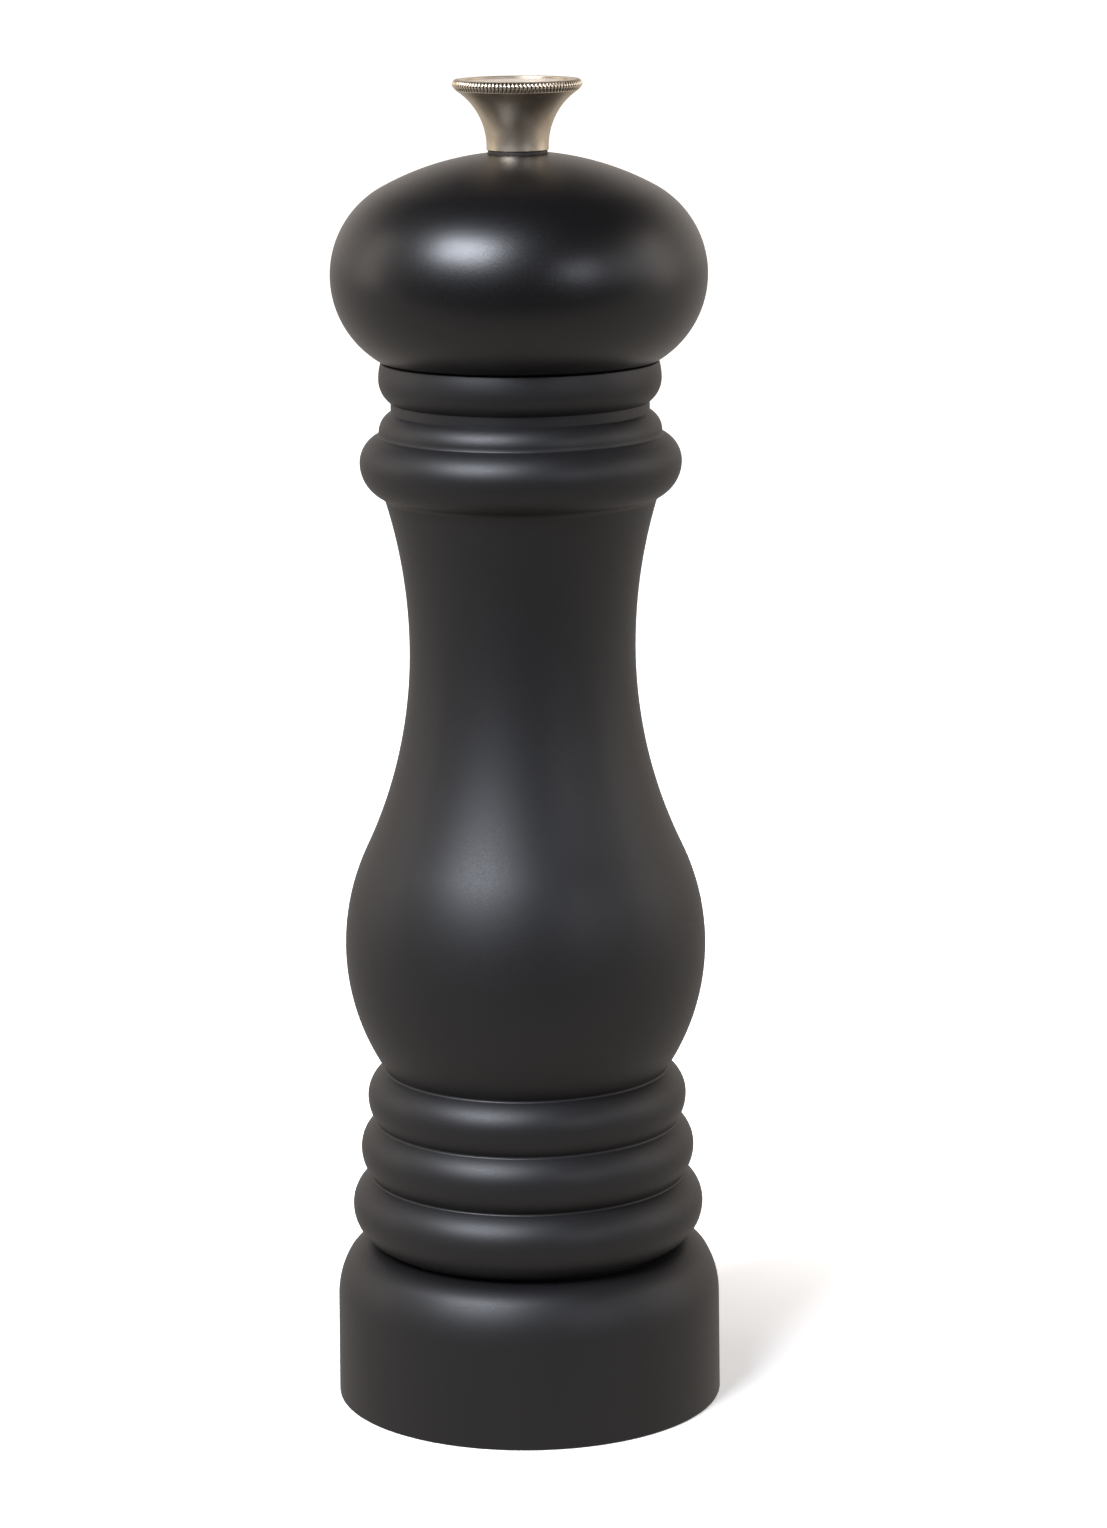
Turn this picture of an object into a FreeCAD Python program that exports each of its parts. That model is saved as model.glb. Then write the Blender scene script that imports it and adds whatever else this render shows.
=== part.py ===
"""Pepper mill: a turned-profile body and a rounded head of black ABS, a flared metal knob
that sets the grind, and a ceramic burr mill in the base, driven by a square steel shaft.

Millimetres. +Z is up and the origin is the middle of the base's underside.
Each piece is drawn about its own seat and placed at that seat's height on the mill's axis.
"""
import FreeCAD, Part
import math
import os
import re

import Sketcher

doc = FreeCAD.newDocument("pepper_mill")
sheet = doc.addObject("Spreadsheet::Sheet", "Sizes")

SIZES = [
    ("Body shell, outside", [
        ("body_height", 166.8, "top lip of the body"),
        ("base_radius", 30.75, "foot of the base"),
        ("base_draft", 0.12, "radius lost from foot to shoulder"),
        ("foot_round", 0.4, "rounded bottom edge"),
        ("base_side_height", 16.33, "where the side turns in to the shoulder"),
        ("shoulder_radius", 24.57, "inner end of the shoulder"),
        ("shoulder_height", 25.25, "top of the shoulder"),
        ("shoulder_break_in", 0.284, "share of the shoulder's width at its tighter curve"),
        ("shoulder_break_up", 0.72, "share of the shoulder's height at its tighter curve"),
        ("groove_low_radius", 23.5, "groove between base and lowest ring"),
        ("groove_low_height", 25.4, ""),
        ("ring_low_radius", 28.03, "lowest ring"),
        ("ring_low_height", 31.51, ""),
        ("groove_second_radius", 24.92, "groove between lowest and middle ring"),
        ("groove_second_height", 36.5, ""),
        ("ring_mid_radius", 26.6, "middle ring"),
        ("ring_mid_height", 40.87, ""),
        ("groove_third_radius", 24.1, "groove between middle and top ring"),
        ("groove_third_height", 45.45, ""),
        ("ring_top_radius", 25.4, "top ring"),
        ("ring_top_height", 49.34, ""),
        ("belly_foot_radius", 22.48, "groove between top ring and belly"),
        ("belly_foot_height", 54.0, ""),
        ("belly_radius", 28.56, "widest place of the belly"),
        ("belly_height", 73.98, ""),
        ("belly_share", 0.3276, "share of the run from belly to waist that is full, not hollow"),
        ("waist_radius", 17.75, "narrowest place"),
        ("waist_drop", 45.1, "waist below the lip"),
        ("neck_root_radius", 21.2, "upper end of the hollow waist"),
        ("neck_root_drop", 21.6, ""),
        ("neck_step_radius", 21.75, "small step under the large bead"),
        ("neck_step_drop", 21.0, ""),
        ("bead_radius", 25.08, "large bead of the neck"),
        ("bead_drop", 15.7, ""),
        ("bead_top_radius", 22.15, "upper edge of the large bead"),
        ("bead_top_drop", 11.4, ""),
        ("quarter_radius", 22.05, "quarter round above the bead"),
        ("quarter_drop", 10.9, ""),
        ("neck_radius", 20.13, "plain stretch of the neck"),
        ("neck_low_drop", 7.9, ""),
        ("neck_top_drop", 6.3, ""),
        ("collar_radius", 22.0, "small bead that carries the lip"),
        ("collar_drop", 2.7, ""),
        ("lip_radius", 21.6, "edge of the body under the head"),
    ]),
    ("Body shell, inside", [
        ("base_wall", 4.75, "wall round the recess for the grinder"),
        ("recess_depth", 16.0, "height of the grinder's seat above the foot"),
        ("ring_wall", 2.7, "wall at the foot of the belly"),
        ("waist_wall", 2.95, "wall at the waist"),
        ("neck_wall", 2.93, "wall at the neck"),
        ("taper_start", 0.294, "share of the run from belly to waist where the chamber narrows"),
        ("taper_end", 0.755, "share of that run where it stops narrowing"),
        ("waist_bore_top_drop", 26.8, "where the bore opens again towards the mouth"),
        ("mouth_depth", 18.8, "depth of the mouth's straight bore"),
        ("rebate_width", 2.0, "step in the lip that holds the glide ring"),
        ("rebate_depth", 2.0, ""),
    ]),
    ("Head", [
        ("seam_gap", 0.3, "gap between body and head"),
        ("head_bottom_radius", 21.9, "lower edge of the head"),
        ("head_radius", 29.2, "widest place of the head"),
        ("head_equator", 13.05, "height of the widest place above the lower edge"),
        ("head_height", 31.9, "crown above the lower edge"),
        ("crown_break_in", 0.2616, "share of the radius where the side turns into the crown"),
        ("crown_break_up", 0.7034, "share of the height where it does"),
        ("head_wall", 2.8, "wall of the head shell"),
        ("head_opening_wall", 2.9, "wall at the lower edge"),
        ("head_ledge", 2.6, "width of the ledge over the plug"),
        ("plug_thickness", 3.0, "disc that closes the head"),
        ("ledge_thickness", 1.0, "thickness of the ledge's lip"),
        ("head_boss_wall", 3.8, "boss round that hole, under the crown"),
        ("head_boss_length", 8.5, "boss below the crown"),
        ("crown_hole_play", 0.75, "gap between the crown's hole and the shaft's thread"),
        ("washer_recess_inset", 0.1, "seat of the knob's washer, inside the knob's foot"),
        ("washer_recess_depth", 0.6, ""),
        ("plug_play", 0.1, "gap round the plug's disc"),
        ("spigot_length", 15.0, "spigot that goes into the body's mouth"),
        ("spigot_wall", 2.0, ""),
        ("spigot_play", 0.3, "gap between spigot and mouth"),
        ("plug_hole_play", 0.45, "gap between the plug's hole and the shaft's corners"),
        ("plug_tube_wall", 2.3, "short tube round that hole"),
        ("plug_tube_length", 5.0, ""),
        ("ring_play", 0.1, "gap round the glide ring"),
        ("plate_thickness", 1.5, "drive plate"),
        ("plate_edge_gap", 0.3, "gap between drive plate and spigot"),
        ("plate_square_play", 0.15, "gap between drive plate and shaft"),
        ("plate_screw_inset", 4.9, "drive plate's screws inside the spigot's bore"),
        ("small_screw_radius", 1.1, "screws of the drive plate and the burr clamp"),
        ("small_head_radius", 2.1, ""),
        ("small_head_height", 1.2, ""),
        ("plate_screw_length", 2.6, "screw above its head"),
    ]),
    ("Knob", [
        ("knob_gap", 0.25, "knob's foot above the crown"),
        ("knob_height", 10.75, ""),
        ("knob_foot_radius", 4.8, ""),
        ("knob_foot_height", 0.55, "straight foot under the flare"),
        ("knob_flare_radius", 9.41, "upper end of the flare"),
        ("knob_flare_height", 8.75, ""),
        ("knob_rim_radius", 10.05, "knurled rim"),
        ("knob_rim_round", 0.35, "bevel of the rim's two edges"),
        ("knob_rim_drop", 1.6, "lower edge of the rim below the top"),
        ("knob_dish_radius", 7.9, "recess for the polished disc"),
        ("knob_dish_depth", 0.7, ""),
        ("knurl_count", 60, "notches round the rim"),
        ("knurl_depth", 0.22, ""),
        ("cap_thickness", 0.5, "polished disc"),
        ("cap_dish", 0.2, "hollow of the polished disc"),
        ("insert_wall", 1.1, "brass insert"),
        ("insert_lift", 0.35, "insert above the knob's foot"),
        ("insert_length", 7.5, ""),
        ("insert_groove_depth", 0.4, "depth of the groove that anchors the insert"),
        ("washer_hole_play", 0.45, "gap between the knob's washer and the thread"),
        ("washer_play", 0.05, "gap above and below the washer"),
    ]),
    ("Shaft", [
        ("shaft_square", 6.0, "across the flats"),
        ("shaft_above_seam", 20.9, "square part above the seam"),
        ("shaft_thread_radius", 2.45, "threaded upper end"),
        ("shaft_thread_reach", 6.75, "threaded end above the knob's foot"),
        ("thread_play", 0.05, "gap between thread and insert"),
        ("shaft_play", 0.06, "gap between shaft and bush"),
        ("tail_radius", 2.0, "threaded lower end"),
        ("tail_length", 3.0, ""),
        ("shaft_bevel", 0.5, "bevel of the shaft's ends"),
    ]),
    ("Grinder", [
        ("grinder_play", 0.3, "gap between grinder housing and body"),
        ("housing_clearance", 0.6, "gap between housing and chamber wall"),
        ("flange_thickness", 3.0, "flange that is screwed to the body"),
        ("skirt_length", 9.5, "housing below the seat"),
        ("housing_height", 21.5, "housing above the seat"),
        ("skirt_wall", 3.5, "wall round the burr ring"),
        ("throat_radius", 13.8, "narrowest place of the funnel"),
        ("throat_height", 1.0, "step over the burr ring, above the seat"),
        ("funnel_height", 14.0, "upper end of the funnel, above the seat"),
        ("funnel_wall", 1.8, "wall above the funnel"),
        ("arm_count", 3, "arms of the bridge"),
        ("arm_width", 4.0, ""),
        ("arm_height", 5.0, ""),
        ("hub_wall", 2.0, "hub of the bridge round the bearing"),
        ("hub_height", 6.1, ""),
        ("bearing_wall", 1.04, "bearing sleeve"),
        ("bearing_play", 0.06, "gap between bush and bearing sleeve"),
        ("housing_screw_radius", 1.5, "screws of the grinder housing"),
        ("housing_head_radius", 2.6, ""),
        ("housing_head_height", 1.6, ""),
        ("housing_screw_length", 7.4, "screw above its head"),
        ("screw_count", 3, "screws in each circle"),
        ("stator_height", 9.0, "burr ring"),
        ("stator_play", 0.2, "gap round the burr ring"),
        ("stator_teeth", 24, ""),
        ("stator_mouth_radius", 13.4, "tips of the teeth at the lower face"),
        ("stator_band_radius", 12.1, "tips of the teeth at the narrowest place"),
        ("stator_band_height", 3.5, "grinding band above the lower face"),
        ("stator_feed_radius", 13.8, "tips of the teeth at the upper face"),
        ("stator_tooth_depth", 0.9, ""),
        ("rotor_drop", 0.4, "rotor's lower face below the burr ring's"),
        ("rotor_gap", 0.4, "gap between the two sets of teeth"),
        ("rotor_height", 10.9, ""),
        ("rotor_top_wall", 1.7, "rotor's top beyond the corners of the carrier's sleeve"),
        ("rotor_teeth", 18, ""),
        ("rotor_tooth_depth", 1.0, ""),
        ("tooth_twist", 9.0, "degrees that a tooth turns in each stretch"),
        ("clamp_thickness", 1.5, "ring that clamps the burr ring"),
        ("clamp_lip_height", 1.5, ""),
        ("clamp_hole_radius", 14.4, ""),
        ("clamp_screw_length", 6.0, ""),
        ("carrier_reach", 1.35, "carrier's flange beyond the spring"),
        ("hub_flange_height", 2.2, ""),
        ("carrier_wall", 0.65, "wall of the carrier's square sleeve"),
        ("carrier_play", 0.05, "gap between carrier and rotor"),
        ("tail_washer_reach", 0.9, "washer under the rotor, beyond the sleeve's corners"),
        ("tail_washer_height", 0.6, ""),
        ("nut_flats", 7.0, "nut across the flats"),
        ("nut_height", 2.2, ""),
        ("bush_flange_reach", 1.7, "flange of the bush beyond its sleeve"),
        ("bush_flange_height", 1.5, ""),
        ("bush_wall", 1.6, "bush at the shaft's corners"),
        ("bush_height", 7.7, "sleeve of the bush above its flange"),
        ("bush_play", 0.1, "gap between bush flange and bearing"),
        ("clip_groove_depth", 0.7, "groove for the clip near the bush's top"),
        ("clip_thickness", 0.6, ""),
        ("clip_reach", 1.3, "clip beyond the bush's sleeve"),
        ("clip_opening", 3.4, "mouth of the clip"),
        ("seat_reach", 0.95, "washer on top of the spring, beyond it"),
        ("seat_height", 0.8, ""),
        ("seat_play", 0.2, "gap between that washer and the shaft's corners"),
        ("spring_play", 0.45, "gap between spring and the shaft's corners"),
        ("spring_wire", 0.9, "wire diameter"),
        ("spring_turns", 5, ""),
        ("spring_steps", 16, "sections in one turn of the spring"),
        ("spring_sides", 10, "sides of the wire's section"),
    ]),
]

row = 1
aliases = set()
for heading, entries in SIZES:
    sheet.set("A%d" % row, heading)
    row += 1
    for alias, number, note in entries:
        sheet.set("A%d" % row, alias)
        sheet.set("B%d" % row, str(number))
        sheet.setAlias("B%d" % row, alias)
        sheet.set("C%d" % row, note)
        aliases.add(alias)
        row += 1
doc.recompute()


def bound(text):
    """Write a size or a sum of sizes as an expression that reads the sheet."""
    return re.sub(r"[a-z_]{3,}", lambda m: "Sizes." + m[0] if m[0] in aliases else m[0], text)


def number(text):
    """The present value of such an expression."""
    return float(sheet.evalExpression(bound(text)))


# ---- drawing helpers ---------------------------------------------------------------------

bodies = []


def new_body(label, height="0"):
    """A body for one piece, placed at its seat's height on the mill's axis."""
    body = doc.addObject("PartDesign::Body", label)
    body.Label = label
    body.setExpression("Placement.Base.z", bound(height))
    bodies.append(body)
    return body


def new_sketch(body, name, role, height="0"):
    """A sketch on one of the body's own planes, raised along that plane's normal."""
    sketch = body.newObject("Sketcher::SketchObject", name)
    plane = next(f for f in body.Origin.OriginFeatures if f.Role == role)
    sketch.AttachmentSupport = [(plane, "")]
    sketch.MapMode = "FlatFace"
    if height != "0":
        sketch.setExpression("AttachmentOffset.Base.z", bound(height))
    return sketch


def hold(sketch, kind, name, geometry, end, text):
    """Hold one coordinate of a point at the value of an expression, from the sketch's origin."""
    value = number(text)
    if abs(value) < 1e-9:
        axis = -2 if kind == "DistanceX" else -1
        sketch.addConstraint(Sketcher.Constraint("PointOnObject", geometry, end, axis))
        return
    if value > 0:
        index = sketch.addConstraint(Sketcher.Constraint(kind, -1, 1, geometry, end, value))
        formula = bound(text)
    else:
        index = sketch.addConstraint(Sketcher.Constraint(kind, geometry, end, -1, 1, -value))
        formula = "-(" + bound(text) + ")"
    sketch.renameConstraint(index, name)
    sketch.setExpression("Constraints." + name, formula)


def arc_centre(start, finish, level, is_height):
    """Centre of the arc through two points whose centre lies at a given height or radius."""
    (x1, y1), (x2, y2) = start, finish
    if is_height:
        across = (x1 ** 2 - x2 ** 2 + (y1 - level) ** 2 - (y2 - level) ** 2) / (2 * (x1 - x2))
        return across, level
    up = (y1 ** 2 - y2 ** 2 + (x1 - level) ** 2 - (x2 - level) ** 2) / (2 * (y1 - y2))
    return level, up


def draw_outline(sketch, corners):
    """Draw a closed outline. A corner is (name, across, up), or (name, across, up, arc) where
    arc is ("height", expression) or ("radius", expression): the next stretch is then an arc
    whose centre lies at that height or at that distance from the axis."""
    points = [(number(corner[1]), number(corner[2])) for corner in corners]
    ends = []
    for index, corner in enumerate(corners):
        start = FreeCAD.Vector(*points[index], 0)
        finish = FreeCAD.Vector(*points[(index + 1) % len(points)], 0)
        if len(corner) == 3:
            geometry = sketch.addGeometry(Part.LineSegment(start, finish))
            ends.append((geometry, 1, 2))
            continue
        kind, text = corner[3]
        centre = FreeCAD.Vector(*arc_centre(start[:2], finish[:2], number(text), kind == "height"), 0)
        outward = (start + finish) * 0.5 - centre
        outward.normalize()
        middle = centre + outward * (start - centre).Length
        geometry = sketch.addGeometry(Part.Arc(start, middle, finish))
        forward = (sketch.getPoint(geometry, 1) - start).Length < 1e-6
        ends.append((geometry, 1, 2) if forward else (geometry, 2, 1))
        if kind == "height":
            hold(sketch, "DistanceY", corner[0] + "_centre", geometry, 3, text)
        else:
            hold(sketch, "DistanceX", corner[0] + "_centre", geometry, 3, text)
    for index, corner in enumerate(corners):
        before = ends[index - 1]
        here = ends[index]
        sketch.addConstraint(Sketcher.Constraint("Coincident", before[0], before[2], here[0], here[1]))
        hold(sketch, "DistanceX", corner[0] + "_across", here[0], here[1], corner[1])
        hold(sketch, "DistanceY", corner[0] + "_up", here[0], here[1], corner[2])


def revolve(body, name, corners, kind="Revolution"):
    """Turn a closed outline about the body's axis, adding to the body or cutting it."""
    sketch = new_sketch(body, name + "_outline", "XZ_Plane")
    draw_outline(sketch, corners)
    turned = body.newObject("PartDesign::" + kind, name)
    turned.Profile = sketch
    turned.ReferenceAxis = (sketch, ["V_Axis"])
    turned.Angle = 360
    return turned


def draw_circle(sketch, radius, across="0", up="0"):
    """A circle, by its radius and its middle."""
    place = FreeCAD.Vector(number(across), number(up), 0)
    circle = sketch.addGeometry(Part.Circle(place, FreeCAD.Vector(0, 0, 1), number(radius)))
    index = sketch.addConstraint(Sketcher.Constraint("Radius", circle, number(radius)))
    sketch.renameConstraint(index, "radius")
    sketch.setExpression("Constraints.radius", bound(radius))
    hold(sketch, "DistanceX", "across", circle, 3, across)
    hold(sketch, "DistanceY", "up", circle, 3, up)


def draw_square(sketch, side):
    """A square about the axis."""
    half = "(" + side + ") / 2"
    less = "-(" + side + ") / 2"
    draw_outline(sketch, [("a", half, less), ("b", half, half), ("c", less, half), ("d", less, less)])


def draw_hexagon(sketch, flats):
    """A hexagon about the axis, with two corners on the sketch's first axis."""
    corner = "(" + flats + ") / sqrt(3)"
    half = "(" + flats + ") / sqrt(3) / 2"
    side = "(" + flats + ") / 2"
    draw_outline(sketch, [
        ("a", corner, "0"), ("b", half, side), ("c", "-" + half, side),
        ("d", "-" + corner, "0"), ("e", "-" + half, "-" + side), ("f", half, "-" + side)])


def pad(body, name, draw, height, length):
    """Raise what draw puts on a level sketch by a length."""
    sketch = new_sketch(body, name + "_outline", "XY_Plane", height)
    draw(sketch)
    raised = body.newObject("PartDesign::Pad", name)
    raised.Profile = sketch
    raised.setExpression("Length", bound(length))
    return raised


def cut(body, name, draw, height, length):
    """Cut what draw puts on a level sketch upwards through a length."""
    doc.recompute()
    before = body.Shape.Volume
    sketch = new_sketch(body, name + "_outline", "XY_Plane", height)
    draw(sketch)
    pocket = body.newObject("PartDesign::Pocket", name)
    pocket.Profile = sketch
    pocket.Reversed = True
    pocket.setExpression("Length", bound(length))
    doc.recompute()
    assert body.Shape.Volume < before - 1e-3, name + " cuts nothing"
    return pocket


def repeat_round(body, feature, count):
    """Repeat a feature round the axis and make the pattern the body's last feature."""
    pattern = body.newObject("PartDesign::PolarPattern", feature.Name + "_round")
    pattern.Originals = [feature]
    pattern.Axis = (feature.Profile[0], ["N_Axis"])
    pattern.Angle = 360
    pattern.setExpression("Occurrences", bound(count))
    body.Tip = pattern
    return pattern


def add_screw_axis(sketch, circle):
    """A construction line down the middle of a screw or its hole; it is the sketch's axis 0."""
    top = FreeCAD.Vector(number(circle), 0, 0)
    axis = sketch.addGeometry(Part.LineSegment(top, top - FreeCAD.Vector(0, 5, 0)), True)
    sketch.addConstraint(Sketcher.Constraint("Vertical", axis))
    sketch.addConstraint(Sketcher.Constraint("DistanceY", axis, 2, axis, 1, 5))
    hold(sketch, "DistanceX", "axis_across", axis, 1, circle)
    hold(sketch, "DistanceY", "axis_up", axis, 1, "0")


def repeat_screws(body, feature, name):
    """Repeat a screw or its hole round the mill's axis."""
    pattern = body.newObject("PartDesign::PolarPattern", name)
    pattern.Originals = [feature]
    pattern.Axis = (feature.Profile[0], ["V_Axis"])
    pattern.Angle = 360
    pattern.setExpression("Occurrences", bound("screw_count"))
    body.Tip = pattern


def countersink(body, height, circle, radius, head_radius, head_height):
    """Conical seats for countersunk screws, cut into an underside."""
    doc.recompute()
    before = body.Shape.Volume
    sketch = new_sketch(body, "sink_outline", "XZ_Plane")
    draw_outline(sketch, [
        ("middle", circle, height),
        ("edge", circle + " + " + head_radius, height),
        ("neck", circle + " + " + radius, height + " + " + head_height),
        ("top", circle, height + " + " + head_height)])
    add_screw_axis(sketch, circle)
    sink = body.newObject("PartDesign::Groove", "sink")
    sink.Profile = sketch
    sink.ReferenceAxis = (sketch, ["Axis0"])
    sink.Angle = 360
    repeat_screws(body, sink, "sinks")
    doc.recompute()
    assert body.Shape.Volume < before - 1e-3, "countersinks cut nothing"


def screw_circle(label, height, circle, radius, length, head_radius, head_height):
    """Countersunk screws on a circle, heads down, one node for all of them."""
    body = new_body(label, height)
    sketch = new_sketch(body, "screw_outline", "XZ_Plane")
    draw_outline(sketch, [
        ("head_middle", circle, "0"),
        ("head_edge", circle + " + " + head_radius, "0"),
        ("neck", circle + " + " + radius, head_height),
        ("tip_edge", circle + " + " + radius, length + " + " + head_height + " - " + radius),
        ("tip", circle, length + " + " + head_height)])
    add_screw_axis(sketch, circle)
    turned = body.newObject("PartDesign::Revolution", "screw")
    turned.Profile = sketch
    turned.ReferenceAxis = (sketch, ["Axis0"])
    turned.Angle = 360
    repeat_screws(body, turned, "screws")


# ---- heights and radii that several pieces share -----------------------------------------

SEAM = "body_height + seam_gap"
CROWN = SEAM + " + head_height"
KNOB_FOOT = CROWN + " + knob_gap"
RECESS_RADIUS = "base_radius - base_wall"
CHAMBER_RADIUS = "belly_foot_radius - ring_wall"
WAIST_BORE = "waist_radius - waist_wall"
MOUTH_RADIUS = "neck_radius - neck_wall"
SPIGOT_RADIUS = MOUTH_RADIUS + " - spigot_play"
SPIGOT_BORE = SPIGOT_RADIUS + " - spigot_wall"
WAIST_HEIGHT = "body_height - waist_drop"
BELLY_RUN = "(body_height - waist_drop - belly_height)"
PLATE_SCREWS = SPIGOT_BORE + " - plate_screw_inset"
WASHER_SEAT = "knob_foot_radius - washer_recess_inset"
INSERT_RADIUS = "shaft_thread_radius + thread_play + insert_wall"
BUSH_RADIUS = "shaft_square / sqrt(2) + shaft_play + bush_wall"
BEARING_BORE = BUSH_RADIUS + " + bearing_play"
HUB_BORE = BEARING_BORE + " + bearing_wall"
SPRING_RADIUS = "shaft_square / sqrt(2) + spring_play + spring_wire"
SLEEVE_CORNER = "(shaft_square + 2 * shaft_play + 2 * carrier_wall) / sqrt(2)"
HEAD_OPENING = "head_bottom_radius - head_opening_wall"
FLANGE_RADIUS = RECESS_RADIUS + " - grinder_play"
TUBE_RADIUS = CHAMBER_RADIUS + " - housing_clearance"
SKIRT_BORE = TUBE_RADIUS + " - skirt_wall"
HOUSING_SCREWS = "(" + TUBE_RADIUS + " + " + RECESS_RADIUS + ") / 2"
CLAMP_SCREWS = TUBE_RADIUS + " - skirt_wall / 2"
BURR_FOOT = "recess_depth + throat_height - stator_height"
ROTOR_FOOT = BURR_FOOT + " - rotor_drop"
ROTOR_TOP = ROTOR_FOOT + " + rotor_height"
SPRING_FOOT = ROTOR_TOP + " + hub_flange_height"
HUB_FOOT = "recess_depth + housing_height - hub_height"
BUSH_FOOT = HUB_FOOT + " - bush_play - bush_flange_height"
SPRING_TOP = BUSH_FOOT + " - seat_height"

# ---- body --------------------------------------------------------------------------------


def make_body_shell():
    """The hollow ABS body: stepped base, three rings, belly, waist and beaded neck."""
    body = new_body("body_shell")
    side = "base_radius - base_draft"
    width = "(" + side + " - shoulder_radius)"
    rise = "(shoulder_height - base_side_height)"
    bore_top = "belly_height + taper_start * " + BELLY_RUN
    bore_waist = "belly_height + taper_end * " + BELLY_RUN
    revolve(body, "shell", [
        ("recess_foot", RECESS_RADIUS, "0"),
        ("foot", "base_radius - foot_round", "0", ("height", "foot_round")),
        ("foot_side", "base_radius", "foot_round"),
        ("side", side, "base_side_height", ("height", "base_side_height")),
        ("shoulder", side + " - shoulder_break_in * " + width,
         "base_side_height + shoulder_break_up * " + rise, ("radius", "shoulder_radius")),
        ("shoulder_end", "shoulder_radius", "shoulder_height"),
        ("groove_low", "groove_low_radius", "groove_low_height", ("height", "ring_low_height")),
        ("ring_low", "ring_low_radius", "ring_low_height", ("height", "ring_low_height")),
        ("groove_second", "groove_second_radius", "groove_second_height",
         ("height", "ring_mid_height")),
        ("ring_mid", "ring_mid_radius", "ring_mid_height", ("height", "ring_mid_height")),
        ("groove_third", "groove_third_radius", "groove_third_height",
         ("height", "ring_top_height")),
        ("ring_top", "ring_top_radius", "ring_top_height", ("height", "ring_top_height")),
        ("belly_foot", "belly_foot_radius", "belly_foot_height", ("height", "belly_height")),
        ("belly", "belly_radius", "belly_height", ("height", "belly_height")),
        ("turn", "belly_radius + belly_share * (waist_radius - belly_radius)",
         "belly_height + belly_share * " + BELLY_RUN, ("height", WAIST_HEIGHT)),
        ("waist", "waist_radius", WAIST_HEIGHT, ("height", WAIST_HEIGHT)),
        ("neck_root", "neck_root_radius", "body_height - neck_root_drop"),
        ("neck_step", "neck_step_radius", "body_height - neck_step_drop",
         ("height", "body_height - bead_drop")),
        ("bead", "bead_radius", "body_height - bead_drop", ("height", "body_height - bead_drop")),
        ("bead_top", "bead_top_radius", "body_height - bead_top_drop"),
        ("quarter", "quarter_radius", "body_height - quarter_drop",
         ("height", "body_height - quarter_drop")),
        ("neck_low", "neck_radius", "body_height - neck_low_drop"),
        ("neck_top", "neck_radius", "body_height - neck_top_drop",
         ("height", "body_height - collar_drop")),
        ("collar", "collar_radius", "body_height - collar_drop",
         ("height", "body_height - collar_drop")),
        ("lip", "lip_radius", "body_height"),
        ("rebate_lip", MOUTH_RADIUS + " + rebate_width", "body_height"),
        ("rebate_edge", MOUTH_RADIUS + " + rebate_width", "body_height - rebate_depth"),
        ("rebate_floor", MOUTH_RADIUS, "body_height - rebate_depth"),
        ("mouth", MOUTH_RADIUS, "body_height - mouth_depth"),
        ("waist_bore_top", WAIST_BORE, "body_height - waist_bore_top_drop"),
        ("waist_bore", WAIST_BORE, bore_waist),
        ("chamber_top", CHAMBER_RADIUS, bore_top),
        ("chamber", CHAMBER_RADIUS, "recess_depth"),
        ("recess", RECESS_RADIUS, "recess_depth")])
    hole = cut(body, "screw_hole", lambda s: draw_circle(s, "housing_screw_radius", HOUSING_SCREWS),
               "recess_depth", "housing_screw_length - flange_thickness + housing_head_height")
    repeat_round(body, hole, "screw_count")


# ---- grinder in the base -----------------------------------------------------------------


def make_grinder_housing():
    """Nylon housing: flange under the body's seat, skirt round the burr ring, funnel, and a
    bridge of arms whose hub holds the bearing."""
    body = new_body("grinder_housing", "recess_depth")
    revolve(body, "funnel", [
        ("skirt_bore", SKIRT_BORE, "-skirt_length"),
        ("skirt", TUBE_RADIUS, "-skirt_length"),
        ("flange_root", TUBE_RADIUS, "-flange_thickness"),
        ("flange_low", FLANGE_RADIUS, "-flange_thickness"),
        ("flange_top", FLANGE_RADIUS, "0"),
        ("tube_foot", TUBE_RADIUS, "0"),
        ("tube_top", TUBE_RADIUS, "housing_height"),
        ("funnel_rim", TUBE_RADIUS + " - funnel_wall", "housing_height"),
        ("funnel_top", TUBE_RADIUS + " - funnel_wall", "funnel_height"),
        ("throat", "throat_radius", "throat_height"),
        ("skirt_step", SKIRT_BORE, "throat_height")])
    inner = HUB_BORE + " + hub_wall / 2"
    outer = TUBE_RADIUS + " - funnel_wall / 2"
    arm = pad(body, "arm", lambda s: draw_outline(s, [
        ("a", "-(" + outer + ")", "-arm_width / 2"), ("b", "-(" + inner + ")", "-arm_width / 2"),
        ("c", "-(" + inner + ")", "arm_width / 2"), ("d", "-(" + outer + ")", "arm_width / 2")]),
        "housing_height - arm_height", "arm_height")
    repeat_round(body, arm, "arm_count")
    revolve(body, "hub", [
        ("bore_low", HUB_BORE, "housing_height - hub_height"),
        ("hub_low", HUB_BORE + " + hub_wall", "housing_height - hub_height"),
        ("hub_top", HUB_BORE + " + hub_wall", "housing_height"),
        ("bore_top", HUB_BORE, "housing_height")])
    hole = cut(body, "screw_hole", lambda s: draw_circle(s, "housing_screw_radius", HOUSING_SCREWS),
               "-flange_thickness", "flange_thickness")
    repeat_round(body, hole, "screw_count")
    countersink(body, "-flange_thickness", HOUSING_SCREWS, "housing_screw_radius",
                "housing_head_radius", "housing_head_height")
    tapped = cut(body, "clamp_hole", lambda s: draw_circle(s, "small_screw_radius", CLAMP_SCREWS),
                 "-skirt_length", "clamp_screw_length")
    repeat_round(body, tapped, "screw_count")


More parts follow.
